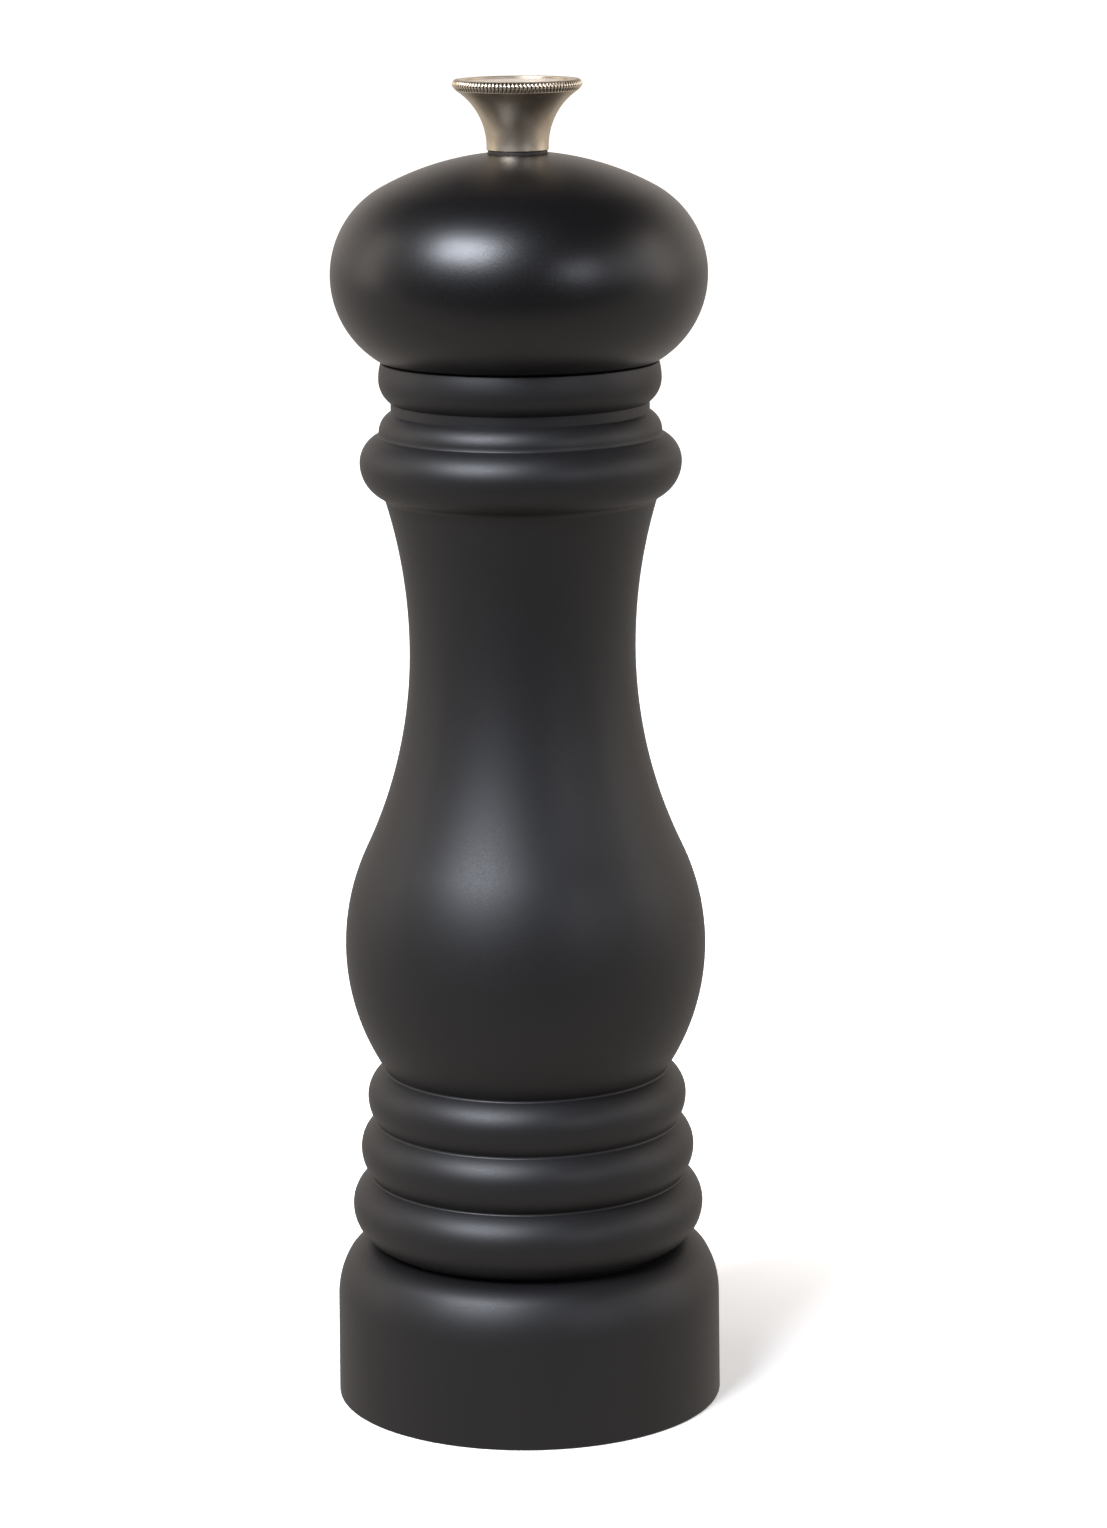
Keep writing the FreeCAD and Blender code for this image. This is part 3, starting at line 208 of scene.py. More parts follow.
def draw_outline(name, outline, closed=True):
    """A new mesh with an outline beside the axis, left in edit mode with all of it selected. It is
    walked from its first point, (radius, height) in millimetres: a straight cut is (radius,
    height), and a round one adds {"level": height} or {"across": radius} of the arc's middle."""
    bpy.ops.object.select_all(action="DESELECT")
    bpy.ops.mesh.primitive_plane_add(size=1 * mm, location=(0, 0, 0))
    piece = bpy.context.object
    piece.name = name
    piece.data.name = name
    bpy.ops.object.mode_set(mode="EDIT")
    bpy.ops.mesh.select_mode(type="VERT")
    bpy.ops.mesh.select_all(action="SELECT")
    bpy.ops.mesh.merge(type="CENTER")
    here = outline[0][:2]
    bpy.ops.transform.translate(value=(here[0] * mm, 0, here[1] * mm))
    for cut in outline[1:] + outline[:1] * closed:
        there = cut[:2]
        if len(cut) == 2:
            step = ((there[0] - here[0]) * mm, 0, (there[1] - here[1]) * mm)
            bpy.ops.mesh.extrude_region_move(TRANSFORM_OT_translate={"value": step})
        else:
            middle = arc_middle(here, there, **cut[2])
            radius = math.dist(here, middle)
            start_angle = math.atan2(here[1] - middle[1], here[0] - middle[0])
            sweep = math.atan2(there[1] - middle[1], there[0] - middle[0]) - start_angle
            sweep = (sweep + math.pi) % (2 * math.pi) - math.pi
            stride = 2 * math.acos(1 - min(0.02, arc_fineness / radius))
            bpy.ops.mesh.spin(steps=max(2, math.ceil(abs(sweep) / stride)), angle=sweep,
                              center=(middle[0] * mm, 0, middle[1] * mm), axis=(0, 1, 0))
        here = there
    bpy.ops.mesh.select_all(action="SELECT")
    bpy.ops.mesh.remove_doubles(threshold=weld_distance)
    bpy.ops.mesh.select_all(action="SELECT")
    return piece


def turn_on_lathe(name, outline, segments=192, closed=True):
    """Turn an outline about the mill's axis. One that ends on the axis isn't closed."""
    piece = draw_outline(name, outline, closed=closed)
    bpy.ops.mesh.spin(steps=segments, angle=2 * math.pi, center=(0, 0, 0), axis=(0, 0, 1))
    bpy.ops.mesh.select_all(action="SELECT")
    bpy.ops.mesh.remove_doubles(threshold=weld_distance)
    bpy.ops.mesh.normals_make_consistent(inside=False)
    bpy.ops.object.mode_set(mode="OBJECT")
    bpy.ops.object.shade_smooth_by_angle(angle=crease)
    return piece


def round_rings(piece, corners, size):
    """Round the circular edges of a turned piece that run through the given outline corners."""
    bpy.ops.object.select_all(action="DESELECT")
    piece.select_set(True)
    bpy.context.view_layer.objects.active = piece
    mesh = piece.data
    places = [(math.hypot(vertex.co.x, vertex.co.y), vertex.co.z) for vertex in mesh.vertices]
    near = 0.01 * mm
    on_corner = [any(abs(r - radius * mm) < near and abs(z - height * mm) < near
                     for radius, height in corners) for r, z in places]
    bpy.ops.object.mode_set(mode="EDIT")
    bpy.ops.mesh.select_mode(type="EDGE")
    bpy.ops.mesh.select_all(action="DESELECT")
    bpy.ops.object.mode_set(mode="OBJECT")
    for edge in mesh.edges:
        edge.select = all(on_corner[v] for v in edge.vertices)
    bpy.ops.object.mode_set(mode="EDIT")
    bpy.ops.mesh.bevel(offset=size * mm, segments=3, profile=0.5)
    bpy.ops.object.mode_set(mode="OBJECT")


def finish_piece(piece, body, slot, material, *nodes):
    """Give a piece its finish, its body and the nodes that it stands for. The slot is not used."""
    if material:
        piece.data.materials.clear()
        piece.data.materials.append(material)
    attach(piece, body)
    if nodes:
        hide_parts(*nodes)


def moulded_black_abs(name, low, high, shiny, dull):
    """Black ABS with a silky spark-eroded grain: nearly black, with a wide soft shine that breaks
    into fine sparkles. The grain is about 0.12 mm and drawn at 0.3 mm to show."""
    material, tree, surface = new_material(name)
    position = add_node(tree, "ShaderNodeTexCoord").outputs["Object"]
    grain = add_node(tree, "ShaderNodeTexNoise", Vector=position, Scale=1 / (0.30 * mm), Detail=3.0,
                     Roughness=0.65)
    cloud = add_node(tree, "ShaderNodeTexNoise", Vector=position, Scale=1 / (14 * mm), Detail=2.0)
    tone = add_node(tree, "ShaderNodeValToRGB", Fac=cloud.outputs["Fac"])
    tone.color_ramp.elements[0].color = linear(low)
    tone.color_ramp.elements[1].color = linear(high)
    polish = add_node(tree, "ShaderNodeMapRange", Value=grain.outputs["Fac"], From_Min=0.3,
                      From_Max=0.7, To_Min=shiny, To_Max=dull)
    relief = add_node(tree, "ShaderNodeBump", Height=grain.outputs["Fac"], Strength=0.18,
                      Distance=0.05 * mm)
    shader = add_node(tree, "ShaderNodeBsdfPrincipled", Base_Color=tone.outputs["Color"],
                      Roughness=polish.outputs["Result"], Normal=relief.outputs["Normal"], IOR=1.5)
    tree.links.new(shader.outputs["BSDF"], surface)
    return material


foot_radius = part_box("body_shell")[1].x / mm
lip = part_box("body_shell")[1].z / mm
foot_round = 0.4
shoulder_start = (foot_radius - 0.12, 16.33)
shoulder_break = (28.91, 22.75)
shoulder_end = (24.57, 25.25)
grooves = [(23.5, 25.4), (24.92, 36.5), (24.1, 45.45), (22.48, 54.0)]
rings = [(28.03, 31.51), (26.6, 40.87), (25.4, 49.34)]
belly = (28.56, 73.98)
waist = (17.75, lip - 45.1)
full_share = 0.3276
turn = tuple(low + full_share * (high - low) for low, high in zip(belly, waist))
neck_root = (21.2, lip - 21.6)
neck_step = (21.75, lip - 21.0)
bead = (25.08, lip - 15.7)
bead_top = (22.15, lip - 11.4)
quarter = (22.05, lip - 10.9)
neck_low = (20.13, lip - 7.9)
neck_top = (20.13, lip - 6.3)
collar = (22.0, lip - 2.7)
lip_edge = (21.6, lip)
recess = (foot_radius - 4.75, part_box("grinder_housing")[0].z / mm + 9.5)
chamber_radius = 19.78
chamber_shoulder = 88.0
waist_bore = 14.8
waist_bore_foot = 110.0
mouth_radius = 17.2
rebate = (19.2, lip - 2.0)
body_outline = [
    (recess[0], 0),
    (foot_radius - foot_round, 0),
    (foot_radius, foot_round, {"level": foot_round}),
    shoulder_start,
    (*shoulder_break, {"level": shoulder_start[1]}),
    (*shoulder_end, {"across": shoulder_end[0]}),
    grooves[0]]
for ring, groove in zip(rings, grooves[1:]):
    body_outline += [(*ring, {"level": ring[1]}), (*groove, {"level": ring[1]})]
body_outline += [
    (*belly, {"level": belly[1]}),
    (*turn, {"level": belly[1]}),
    (*waist, {"level": waist[1]}),
    (*neck_root, {"level": waist[1]}),
    neck_step,
    (*bead, {"level": bead[1]}),
    (*bead_top, {"level": bead[1]}),
    quarter,
    (*neck_low, {"level": quarter[1]}),
    neck_top,
    (*collar, {"level": collar[1]}),
    (*lip_edge, {"level": collar[1]}),
    (rebate[0], lip),
    rebate,
    (mouth_radius, rebate[1]),
    (mouth_radius, lip - 18.8),
    (waist_bore, lip - 26.8),
    (waist_bore, waist_bore_foot),
    (chamber_radius, chamber_shoulder),
    (chamber_radius, recess[1]),
    (recess[0], recess[1])]
body_shell = turn_on_lathe("body_shell_moulded", body_outline)
round_rings(body_shell, grooves[:1], 0.25)
round_rings(body_shell, grooves[1:], 0.3)
round_rings(body_shell, [neck_root, neck_step, bead_top, quarter, lip_edge], 0.15)
black_abs = moulded_black_abs("grained_black_abs", "#0a090b", "#0d0c0e", 0.47, 0.55)
finish_piece(body_shell, "mill_body", "black_abs", black_abs, "body_shell")


# ---- Head shell --------------------------------------------------------------------------
# A flattened ball of the same ABS, hollow, with a boss under the crown. It is closed below by
# the plug, which snaps in behind a ledge.

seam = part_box("head_shell")[0].z / mm
crown = seam + 31.9
head_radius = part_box("head_shell")[1].x / mm
head_edge = (21.9, seam)
equator = seam + 13.05
side_out, side_up = 0.7384, 0.7034
crown_side = (side_out * head_radius, equator + side_up * (crown - equator))
head_wall = 2.8
inner_radius = head_radius - head_wall
inner_side = (side_out * inner_radius, equator + side_up * (crown - head_wall - equator))
plug_seat = 19.0
hole_radius = 3.2
washer_seat = 4.7
boss = (7.0, crown - 8.5)
head_shell = turn_on_lathe("head_shell_moulded", [
    head_edge,
    (head_radius, equator, {"level": equator}),
    (*crown_side, {"level": equator}),
    (washer_seat, crown - 0.25, {"across": 0}),
    (washer_seat, crown - 0.6),
    (hole_radius, crown - 0.6),
    (hole_radius, boss[1]),
    boss,
    (boss[0], crown - head_wall - 0.7),
    (*inner_side, {"across": 0}),
    (inner_radius, equator, {"level": equator}),
    (21.6, seam + 4.0, {"level": equator}),
    (plug_seat, seam + 4.0),
    (plug_seat, seam)])
round_rings(head_shell, [head_edge, (washer_seat, crown - 0.25)], 0.12)
rubbed_abs = moulded_black_abs("rubbed_black_abs", "#070608", "#0a090a", 0.33, 0.40)
finish_piece(head_shell, "head", "black_abs", rubbed_abs, "head_shell")


# ---- Knob --------------------------------------------------------------------------------
# A flared, lathe-turned stem with a milled rim, satin nickel all over. It screws onto the
# shaft's threaded end and sets how fine the mill grinds.

def join_pieces(name, *pieces):
    """One piece from several, under the first one's object."""
    bpy.ops.object.select_all(action="DESELECT")
    for piece in pieces:
        piece.select_set(True)
    bpy.context.view_layer.objects.active = pieces[0]
    bpy.ops.object.join()
    pieces[0].name = name
    pieces[0].data.name = name
    return pieces[0]


def turn_ring(name, bore, radius, foot, top, segments=96):
    """A plain flat ring round the mill's axis."""
    return turn_on_lathe(name, [
        (bore, foot),
        (radius, foot),
        (radius, top),
        (bore, top)], segments=segments)


def repeat_round(piece, count):
    """Copy a piece's mesh round the mill's axis until there are count of it."""
    bpy.ops.object.select_all(action="DESELECT")
    piece.select_set(True)
    bpy.context.view_layer.objects.active = piece
    bpy.ops.object.mode_set(mode="EDIT")
    bpy.ops.mesh.select_all(action="SELECT")
    bpy.ops.mesh.spin(steps=count - 1, dupli=True, angle=2 * math.pi * (count - 1) / count,
                      center=(0, 0, 0), axis=(0, 0, 1))
    bpy.ops.mesh.select_all(action="SELECT")
    bpy.ops.mesh.remove_doubles(threshold=weld_distance)
    bpy.ops.mesh.normals_make_consistent(inside=False)
    bpy.ops.object.mode_set(mode="OBJECT")


def turned_metal(name, low, high, shiny, dull, valleys=0):
    """Metal off the lathe: fine rings that follow the turning, with a thin cloudy film. Where
    ribs are milled, valleys is their number, and painted shade darkens the valleys between them."""
    material, tree, surface = new_material(name)
    position = add_node(tree, "ShaderNodeTexCoord").outputs["Object"]
    place = add_node(tree, "ShaderNodeSeparateXYZ", Vector=position)
    flat = add_node(tree, "ShaderNodeCombineXYZ", X=place.outputs["X"], Y=place.outputs["Y"])
    across = add_node(tree, "ShaderNodeVectorMath", {"operation": "LENGTH"},
                      Vector=flat.outputs["Vector"])
    lathe = add_node(tree, "ShaderNodeCombineXYZ", X=across.outputs["Value"], Z=place.outputs["Z"])
    rings = add_node(tree, "ShaderNodeTexNoise", Vector=lathe.outputs["Vector"],
                     Scale=1 / (0.05 * mm), Detail=2.0)
    film = add_node(tree, "ShaderNodeTexNoise", Vector=position, Scale=1 / (2.2 * mm), Detail=4.0)
    tone = add_node(tree, "ShaderNodeValToRGB", Fac=film.outputs["Fac"])
    tone.color_ramp.elements[0].position = 0.3
    tone.color_ramp.elements[0].color = linear(low)
    tone.color_ramp.elements[1].position = 0.7
    tone.color_ramp.elements[1].color = linear(high)
    polish = add_node(tree, "ShaderNodeMapRange", Value=rings.outputs["Fac"], From_Min=0.3,
                      From_Max=0.7, To_Min=shiny, To_Max=dull)
    relief = add_node(tree, "ShaderNodeBump", Height=rings.outputs["Fac"], Strength=0.25,
                      Distance=0.01 * mm)
    colour = tone.outputs["Color"]
    if valleys:
        # Painted shade: towards the valleys between the ribs the colour is darkened to a dark brown.
        turn = add_node(tree, "ShaderNodeMath", {"operation": "ARCTAN2"}, _0=place.outputs["Y"],
                        _1=place.outputs["X"])
        ribs = add_node(tree, "ShaderNodeMath", {"operation": "MULTIPLY"}, _0=turn.outputs["Value"],
                        _1=valleys / (2 * math.pi))
        off = add_node(tree, "ShaderNodeMath", {"operation": "PINGPONG"}, _0=ribs.outputs["Value"],
                       _1=0.5)
        painted_valley_shade = add_node(tree, "ShaderNodeMapRange", Value=off.outputs["Value"], From_Min=0.28,
                        From_Max=0.38, To_Min=0.0, To_Max=0.93)
        mixed = add_node(tree, "ShaderNodeMix", {"data_type": "RGBA"}, _0=painted_valley_shade.outputs["Result"],
                         _6=colour, _7=linear("#3a3226"))
        colour = mixed.outputs[2]
    shader = add_node(tree, "ShaderNodeBsdfPrincipled", Base_Color=colour, Metallic=1.0,
                      Roughness=polish.outputs["Result"], Normal=relief.outputs["Normal"])
    tree.links.new(shader.outputs["BSDF"], surface)
    return material


knob_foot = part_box("knob")[0].z / mm
knob_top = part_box("knob")[1].z / mm
insert_radius = 3.6
thread_radius = 2.45
socket_top = knob_foot + 7.85
stem_foot_radius = 4.8
cap_seat = 7.9
stem = turn_on_lathe("knob_stem", [
    (insert_radius, knob_foot),
    (stem_foot_radius, knob_foot),
    (stem_foot_radius, knob_foot + 0.55),
    (9.41, knob_top - 1.65, {"level": knob_foot + 0.55}),
    (9.62, knob_top - 1.15),
    (9.73, knob_top - 0.75),
    (9.60, knob_top - 0.35),
    (9.25, knob_top - 0.05),
    (9.10, knob_top),
    (cap_seat, knob_top),
    (cap_seat, knob_top - 0.7),
    (insert_radius, knob_top - 0.7),
    (insert_radius, socket_top)])
round_rings(stem, [(stem_foot_radius, knob_foot)], 0.08)
round_rings(stem, [(cap_seat, knob_top)], 0.12)
stem.data.materials.append(turned_metal("satin_nickel", "#c9bba6", "#d9ccb8", 0.35, 0.45))

# The milled rim: round-backed ribs with sharp valleys, each bent over the rim's edge and
# bevelled below.
rib_count = 100
milling = draw_outline("knob_milling", [
    (9.20, knob_top - 1.65),
    (9.55, knob_top - 1.52),
    (9.97, knob_top - 0.98),
    (10.045, knob_top - 0.80),
    (9.98, knob_top - 0.50),
    (9.77, knob_top - 0.12),
    (9.58, knob_top - 0.01),
    (9.15, knob_top - 0.04)], closed=False)
for step in ((-0.03, 0.14), (-0.08, 0.10), (-0.16, 0.067)):
    move = {"value": (step[0] * mm, step[1] * mm, 0)}
    bpy.ops.mesh.extrude_region_move(TRANSFORM_OT_translate=move)
bpy.ops.mesh.select_all(action="SELECT")
bpy.ops.mesh.duplicate()
bpy.ops.transform.resize(value=(1, -1, 1), center_override=(0, 0, 0))
bpy.ops.mesh.select_all(action="SELECT")
bpy.ops.mesh.remove_doubles(threshold=weld_distance)
bpy.ops.object.mode_set(mode="OBJECT")
repeat_round(milling, rib_count)
bpy.ops.object.shade_smooth_by_angle(angle=math.radians(40))
milled_nickel = turned_metal("milled_nickel", "#dccfb8", "#e8dcc8", 0.22, 0.30, rib_count)
milling.data.materials.append(milled_nickel)
knob = join_pieces("knob_turned", stem, milling)
finish_piece(knob, "knob", "satin_nickel", None, "knob")

# A thin polished disc let into the knob's top, very slightly hollow.
cap_radius = 7.85
cap_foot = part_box("knob_cap")[0].z / mm
knob_cap = turn_on_lathe("knob_cap_polished", [
    (0, cap_foot),
    (cap_radius, cap_foot),
    (cap_radius, cap_foot + 0.5),
    (0, cap_foot + 0.3, {"across": 0})], closed=False)
round_rings(knob_cap, [(cap_radius, cap_foot + 0.5)], 0.1)
finish_piece(knob_cap, "knob", "polished_nickel",
             turned_metal("polished_nickel", "#c9bfb4", "#d4cbc1", 0.10, 0.16), "knob_cap")

# The threaded brass insert that is pressed into the stem, with a groove that anchors it.
insert_foot = knob_foot + 0.35
knob_insert = turn_on_lathe("knob_insert_turned", [
    (thread_radius + 0.05, insert_foot),
    (insert_radius, insert_foot),
    (insert_radius, insert_foot + 3.0),
    (insert_radius - 0.4, insert_foot + 3.4),
    (insert_radius - 0.4, insert_foot + 4.1),
    (insert_radius, insert_foot + 4.5),
    (insert_radius, insert_foot + 7.5),
    (thread_radius + 0.05, insert_foot + 7.5)], segments=96)
finish_piece(knob_insert, "knob", "brass",
             turned_metal("turned_brass", "#b98f4c", "#c79d58", 0.22, 0.32), "knob_insert")

# The steel washer in the crown's recess, on which the knob bears.
washer_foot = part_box("knob_washer")[0].z / mm
washer_top = washer_foot + 0.75
washer_radius = 4.6
washer_hole = thread_radius + 0.45
knob_washer = turn_ring("knob_washer_turned", washer_hole, washer_radius, washer_foot, washer_top)
round_rings(knob_washer, [(washer_radius, washer_top)], 0.1)
finish_piece(knob_washer, "knob_washer", "stainless_steel",
             turned_metal("pickled_steel", "#4a4744", "#575350", 0.50, 0.60), "knob_washer")


# ---- Glide ring --------------------------------------------------------------------------
# A white acetal ring round the head's spigot: the head turns on it in the body's lip.

def smooth_plastic(name, low, high, shiny, dull, cell=0.4, depth=0.02, soft=0.0):
    """Moulded plastic or fired ceramic: faint cloudy colour, and a fine uneven skin."""
    material, tree, surface = new_material(name)
    position = add_node(tree, "ShaderNodeTexCoord").outputs["Object"]
    cloud = add_node(tree, "ShaderNodeTexNoise", Vector=position, Scale=1 / (6 * mm), Detail=3.0)
    tone = add_node(tree, "ShaderNodeValToRGB", Fac=cloud.outputs["Fac"])
    tone.color_ramp.elements[0].color = linear(low)
    tone.color_ramp.elements[1].color = linear(high)
    skin = add_node(tree, "ShaderNodeTexNoise", Vector=position, Scale=1 / (cell * mm), Detail=4.0)
    polish = add_node(tree, "ShaderNodeMapRange", Value=skin.outputs["Fac"], From_Min=0.3,
                      From_Max=0.7, To_Min=shiny, To_Max=dull)
    relief = add_node(tree, "ShaderNodeBump", Height=skin.outputs["Fac"], Strength=0.3,
                      Distance=depth * mm)
    shader = add_node(tree, "ShaderNodeBsdfPrincipled", Base_Color=tone.outputs["Color"],
                      Roughness=polish.outputs["Result"], Normal=relief.outputs["Normal"],
                      Subsurface_Weight=soft, Subsurface_Scale=0.6 * mm)
    tree.links.new(shader.outputs["BSDF"], surface)
    return material


ring_foot, ring_top = (corner.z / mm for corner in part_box("glide_ring"))
ring_radius = 19.1
glide_ring = turn_ring("glide_ring_turned", 17.0, ring_radius, ring_foot, ring_top, segments=192)
round_rings(glide_ring, [(ring_radius, ring_top), (ring_radius, ring_foot)], 0.15)
white_acetal = smooth_plastic("white_acetal", "#dedcd3", "#e6e4dc", 0.34, 0.44, soft=0.15)
finish_piece(glide_ring, "glide_ring", "white_acetal", white_acetal, "glide_ring")


# ---- Head plug ---------------------------------------------------------------------------
# The ABS disc that closes the head below, with the spigot that sits in the body's mouth and a
# short tube round the shaft.

plug_foot, plug_top = (corner.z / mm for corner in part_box("head_plug"))
plug_hole = 4.69
plug_tube = plug_hole + 2.3
plug_radius = plug_seat - 0.1
plug_disc_top = seam + 3.0
spigot_radius = 16.9
spigot_bore = spigot_radius - 2.0
head_plug = turn_on_lathe("head_plug_moulded", [
    (spigot_bore, plug_foot),
    (spigot_radius, plug_foot),
    (spigot_radius, seam),
    (plug_radius, seam),
    (plug_radius, plug_disc_top),
    (plug_tube, plug_disc_top),
    (plug_tube, plug_top),
    (plug_hole, plug_top),
    (plug_hole, seam),
    (spigot_bore, seam)])
round_rings(head_plug, [(spigot_radius, plug_foot), (spigot_bore, plug_foot)], 0.3)
finish_piece(head_plug, "head", "black_abs", black_abs, "head_plug")


# ---- Screws and drive plate --------------------------------------------------------------
# Countersunk zinc-plated screws with a cross recess. Three hold the steel drive plate, whose
# square hole takes the shaft round, under the plug.

def add_bar(name, size, middle):
    """A plain block of the given size, in millimetres, with its place in its mesh."""
    bpy.ops.object.select_all(action="DESELECT")
    bpy.ops.mesh.primitive_cube_add(size=1 * mm, location=(0, 0, 0))
    block = bpy.context.object
    block.name = name
    block.data.name = name
    bpy.ops.object.mode_set(mode="EDIT")
    bpy.ops.transform.resize(value=size)
    bpy.ops.transform.translate(value=[place * mm for place in middle])
    bpy.ops.object.mode_set(mode="OBJECT")
    return block


def take_away(piece, *cutters):
    """Cut other meshes out of a piece, and delete them."""
    for cutter in cutters:
        bpy.ops.object.select_all(action="DESELECT")
        piece.select_set(True)
        bpy.context.view_layer.objects.active = piece
        cut = piece.modifiers.new("cut", "BOOLEAN")
        cut.operation = "DIFFERENCE"
        cut.solver = "EXACT"
        cut.object = cutter
        bpy.ops.object.modifier_apply(modifier=cut.name)
        bpy.data.objects.remove(cutter)
    bpy.ops.object.mode_set(mode="EDIT")
    bpy.ops.mesh.select_all(action="SELECT")
    bpy.ops.mesh.remove_doubles(threshold=0.001 * mm)
    bpy.ops.object.mode_set(mode="OBJECT")
    bpy.ops.object.shade_smooth_by_angle(angle=crease)


def turn_disc(name, radius, foot, top, segments=192):
    """A plain solid disc round the mill's axis."""
    return turn_on_lathe(name, [
        (0, foot),
        (radius, foot),
        (radius, top),
        (0, top)], segments=segments, closed=False)


def set_three(piece, circle):
    """Move a piece's mesh out to a circle and make three of it."""
    bpy.ops.object.mode_set(mode="EDIT")
    bpy.ops.mesh.select_all(action="SELECT")
    bpy.ops.transform.translate(value=(circle * mm, 0, 0))
    bpy.ops.object.mode_set(mode="OBJECT")
    repeat_round(piece, 3)


def screw_circle(name, foot, circle, radius, head_radius, head_height, length):
    """Three countersunk screws on a circle, heads down."""
    screw = turn_on_lathe(name, [
        (0, foot),
        (head_radius, foot),
        (radius, foot + head_height),
        (radius, foot + length - radius),
        (0, foot + length)], segments=48, closed=False)
    arm = head_radius * 1.15
    slit = arm * 0.2
    cross = [add_bar("recess", (arm, slit, 0.7), (0, 0, foot)),
             add_bar("recess", (slit, arm, 0.7), (0, 0, foot))]
    take_away(screw, *cross)
    set_three(screw, circle)
    bpy.ops.object.shade_smooth_by_angle(angle=crease)
    return screw


def sink_cutter(foot, circle, radius, head_radius, head_height, depth):
    """The hollow that such screws need in the plate they hold."""
    play = 0.04
    sinks = turn_on_lathe("sinks", [
        (0, foot - 0.5),
        (head_radius + play, foot - 0.5),
        (head_radius + play, foot),
        (radius + play, foot + head_height),
        (radius + play, foot + depth),
        (0, foot + depth)], segments=48, closed=False)
    set_three(sinks, circle)
    return sinks


stainless_steel = turned_metal("stainless_steel", "#a5a39f", "#b4b2ae", 0.24, 0.34)
zinc_plated_steel = turned_metal("zinc_plated_steel", "#a9adb2", "#bcc0c4", 0.22, 0.36)
plate_foot, plate_top = (corner.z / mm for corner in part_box("drive_plate"))
plate_radius = 14.6
plate_square = 6.3
plate_screw = {"circle": 10, "radius": 1.1, "head_radius": 2.1, "head_height": 1.2}
drive_plate = turn_disc("drive_plate_stamped", plate_radius, plate_foot, plate_top)
take_away(drive_plate, add_bar("square", (plate_square, plate_square, 4), (0, 0, plate_foot)),
          sink_cutter(plate_foot, **plate_screw, depth=3))
round_rings(drive_plate, [(plate_radius, plate_foot)], 0.15)
finish_piece(drive_plate, "head", "stainless_steel", stainless_steel, "drive_plate")
plate_screws = screw_circle("drive_plate_screws_turned", plate_foot, **plate_screw, length=3.8)
finish_piece(plate_screws, "head", "zinc_plated_steel", zinc_plated_steel, "drive_plate_screws")


# ---- Shaft and rotor ---------------------------------------------------------------------
# A square stainless bar with a turned, threaded pin at its top for the knob and a short one
# below, where a washer and a nut hold the rotor's nylon carrier.

def wind_up(piece, pitch, turns, sides):
    """Wind a flat profile with so many sides up the mill's axis, and close both ends."""
    winding = piece.modifiers.new("winding", "SCREW")
    winding.axis = "Z"
    winding.steps = 48
    winding.screw_offset = pitch
    winding.iterations = turns
    bpy.ops.object.modifier_apply(modifier=winding.name)
    bpy.ops.object.mode_set(mode="EDIT")
    bpy.ops.mesh.select_all(action="DESELECT")
    bpy.ops.mesh.select_non_manifold()
    bpy.ops.mesh.fill_holes(sides=sides)
    bpy.ops.mesh.select_all(action="SELECT")
    bpy.ops.mesh.normals_make_consistent(inside=False)
    bpy.ops.object.mode_set(mode="OBJECT")


shaft_foot, shaft_top = (corner.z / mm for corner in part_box("drive_shaft"))
square = 6
square_foot = shaft_foot + 3.0
square_top = shaft_top - 18.0
bar = add_bar("shaft_bar", (square, square, square_top - square_foot),
              (0, 0, (square_top + square_foot) / 2))
bpy.ops.object.mode_set(mode="EDIT")
bpy.ops.mesh.select_all(action="SELECT")
bpy.ops.mesh.bevel(offset=0.25 * mm, segments=2)
bpy.ops.object.mode_set(mode="OBJECT")
bpy.ops.object.shade_smooth_by_angle(angle=crease)
thread_pitch = 0.8
thread_turns = 21
thread_core = thread_radius - 0.22
thread_root = thread_core - 0.03
pin = turn_on_lathe("shaft_pin", [
    (0, square_top - 0.5),
    (thread_core, square_top - 0.5),
    (thread_core, shaft_top - 0.3),
    (thread_core - 0.3, shaft_top),
    (0, shaft_top)], segments=64, closed=False)
tail_pin = turn_on_lathe("shaft_tail", [
    (0, shaft_foot),
    (1.5, shaft_foot),
    (2.0, shaft_foot + 0.5),
    (2.0, square_foot + 0.5),
    (0, square_foot + 0.5)], segments=64, closed=False)
thread = draw_outline("shaft_thread", [
    (thread_root, square_top + 0.1),
    (thread_radius, square_top + 0.4),
    (thread_radius, square_top + 0.52),
    (thread_root, square_top + 0.82)])
bpy.ops.object.mode_set(mode="OBJECT")
wind_up(thread, thread_pitch * mm, thread_turns, 4)
bpy.ops.object.shade_smooth_by_angle(angle=math.radians(25))
drive_shaft = join_pieces("drive_shaft_turned", bar, pin, tail_pin, thread)
finish_piece(drive_shaft, "shaft", "stainless_steel", stainless_steel, "drive_shaft")

black_nylon = smooth_plastic("black_nylon", "#242423", "#2b2b2a", 0.42, 0.55, cell=0.6, depth=0.04)
carrier_foot, carrier_top = (corner.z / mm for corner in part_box("rotor_carrier"))
carrier_radius = 6.94
carrier_square = 7.42
square_bore = square + 0.12
sleeve_top = carrier_top - 1
carrier_flange = turn_disc("carrier_flange", carrier_radius, carrier_top - 2.2, carrier_top,
                           segments=96)
sleeve_size = (carrier_square, carrier_square, sleeve_top - carrier_foot)
carrier_sleeve = add_bar("carrier_sleeve", sleeve_size, (0, 0, (sleeve_top + carrier_foot) / 2))
for half in (carrier_flange, carrier_sleeve):
    take_away(half, add_bar("bore", (square_bore, square_bore, 40), (0, 0, carrier_top)))
rotor_carrier = join_pieces("rotor_carrier_moulded", carrier_flange, carrier_sleeve)
finish_piece(rotor_carrier, "shaft", "black_nylon", black_nylon, "rotor_carrier")

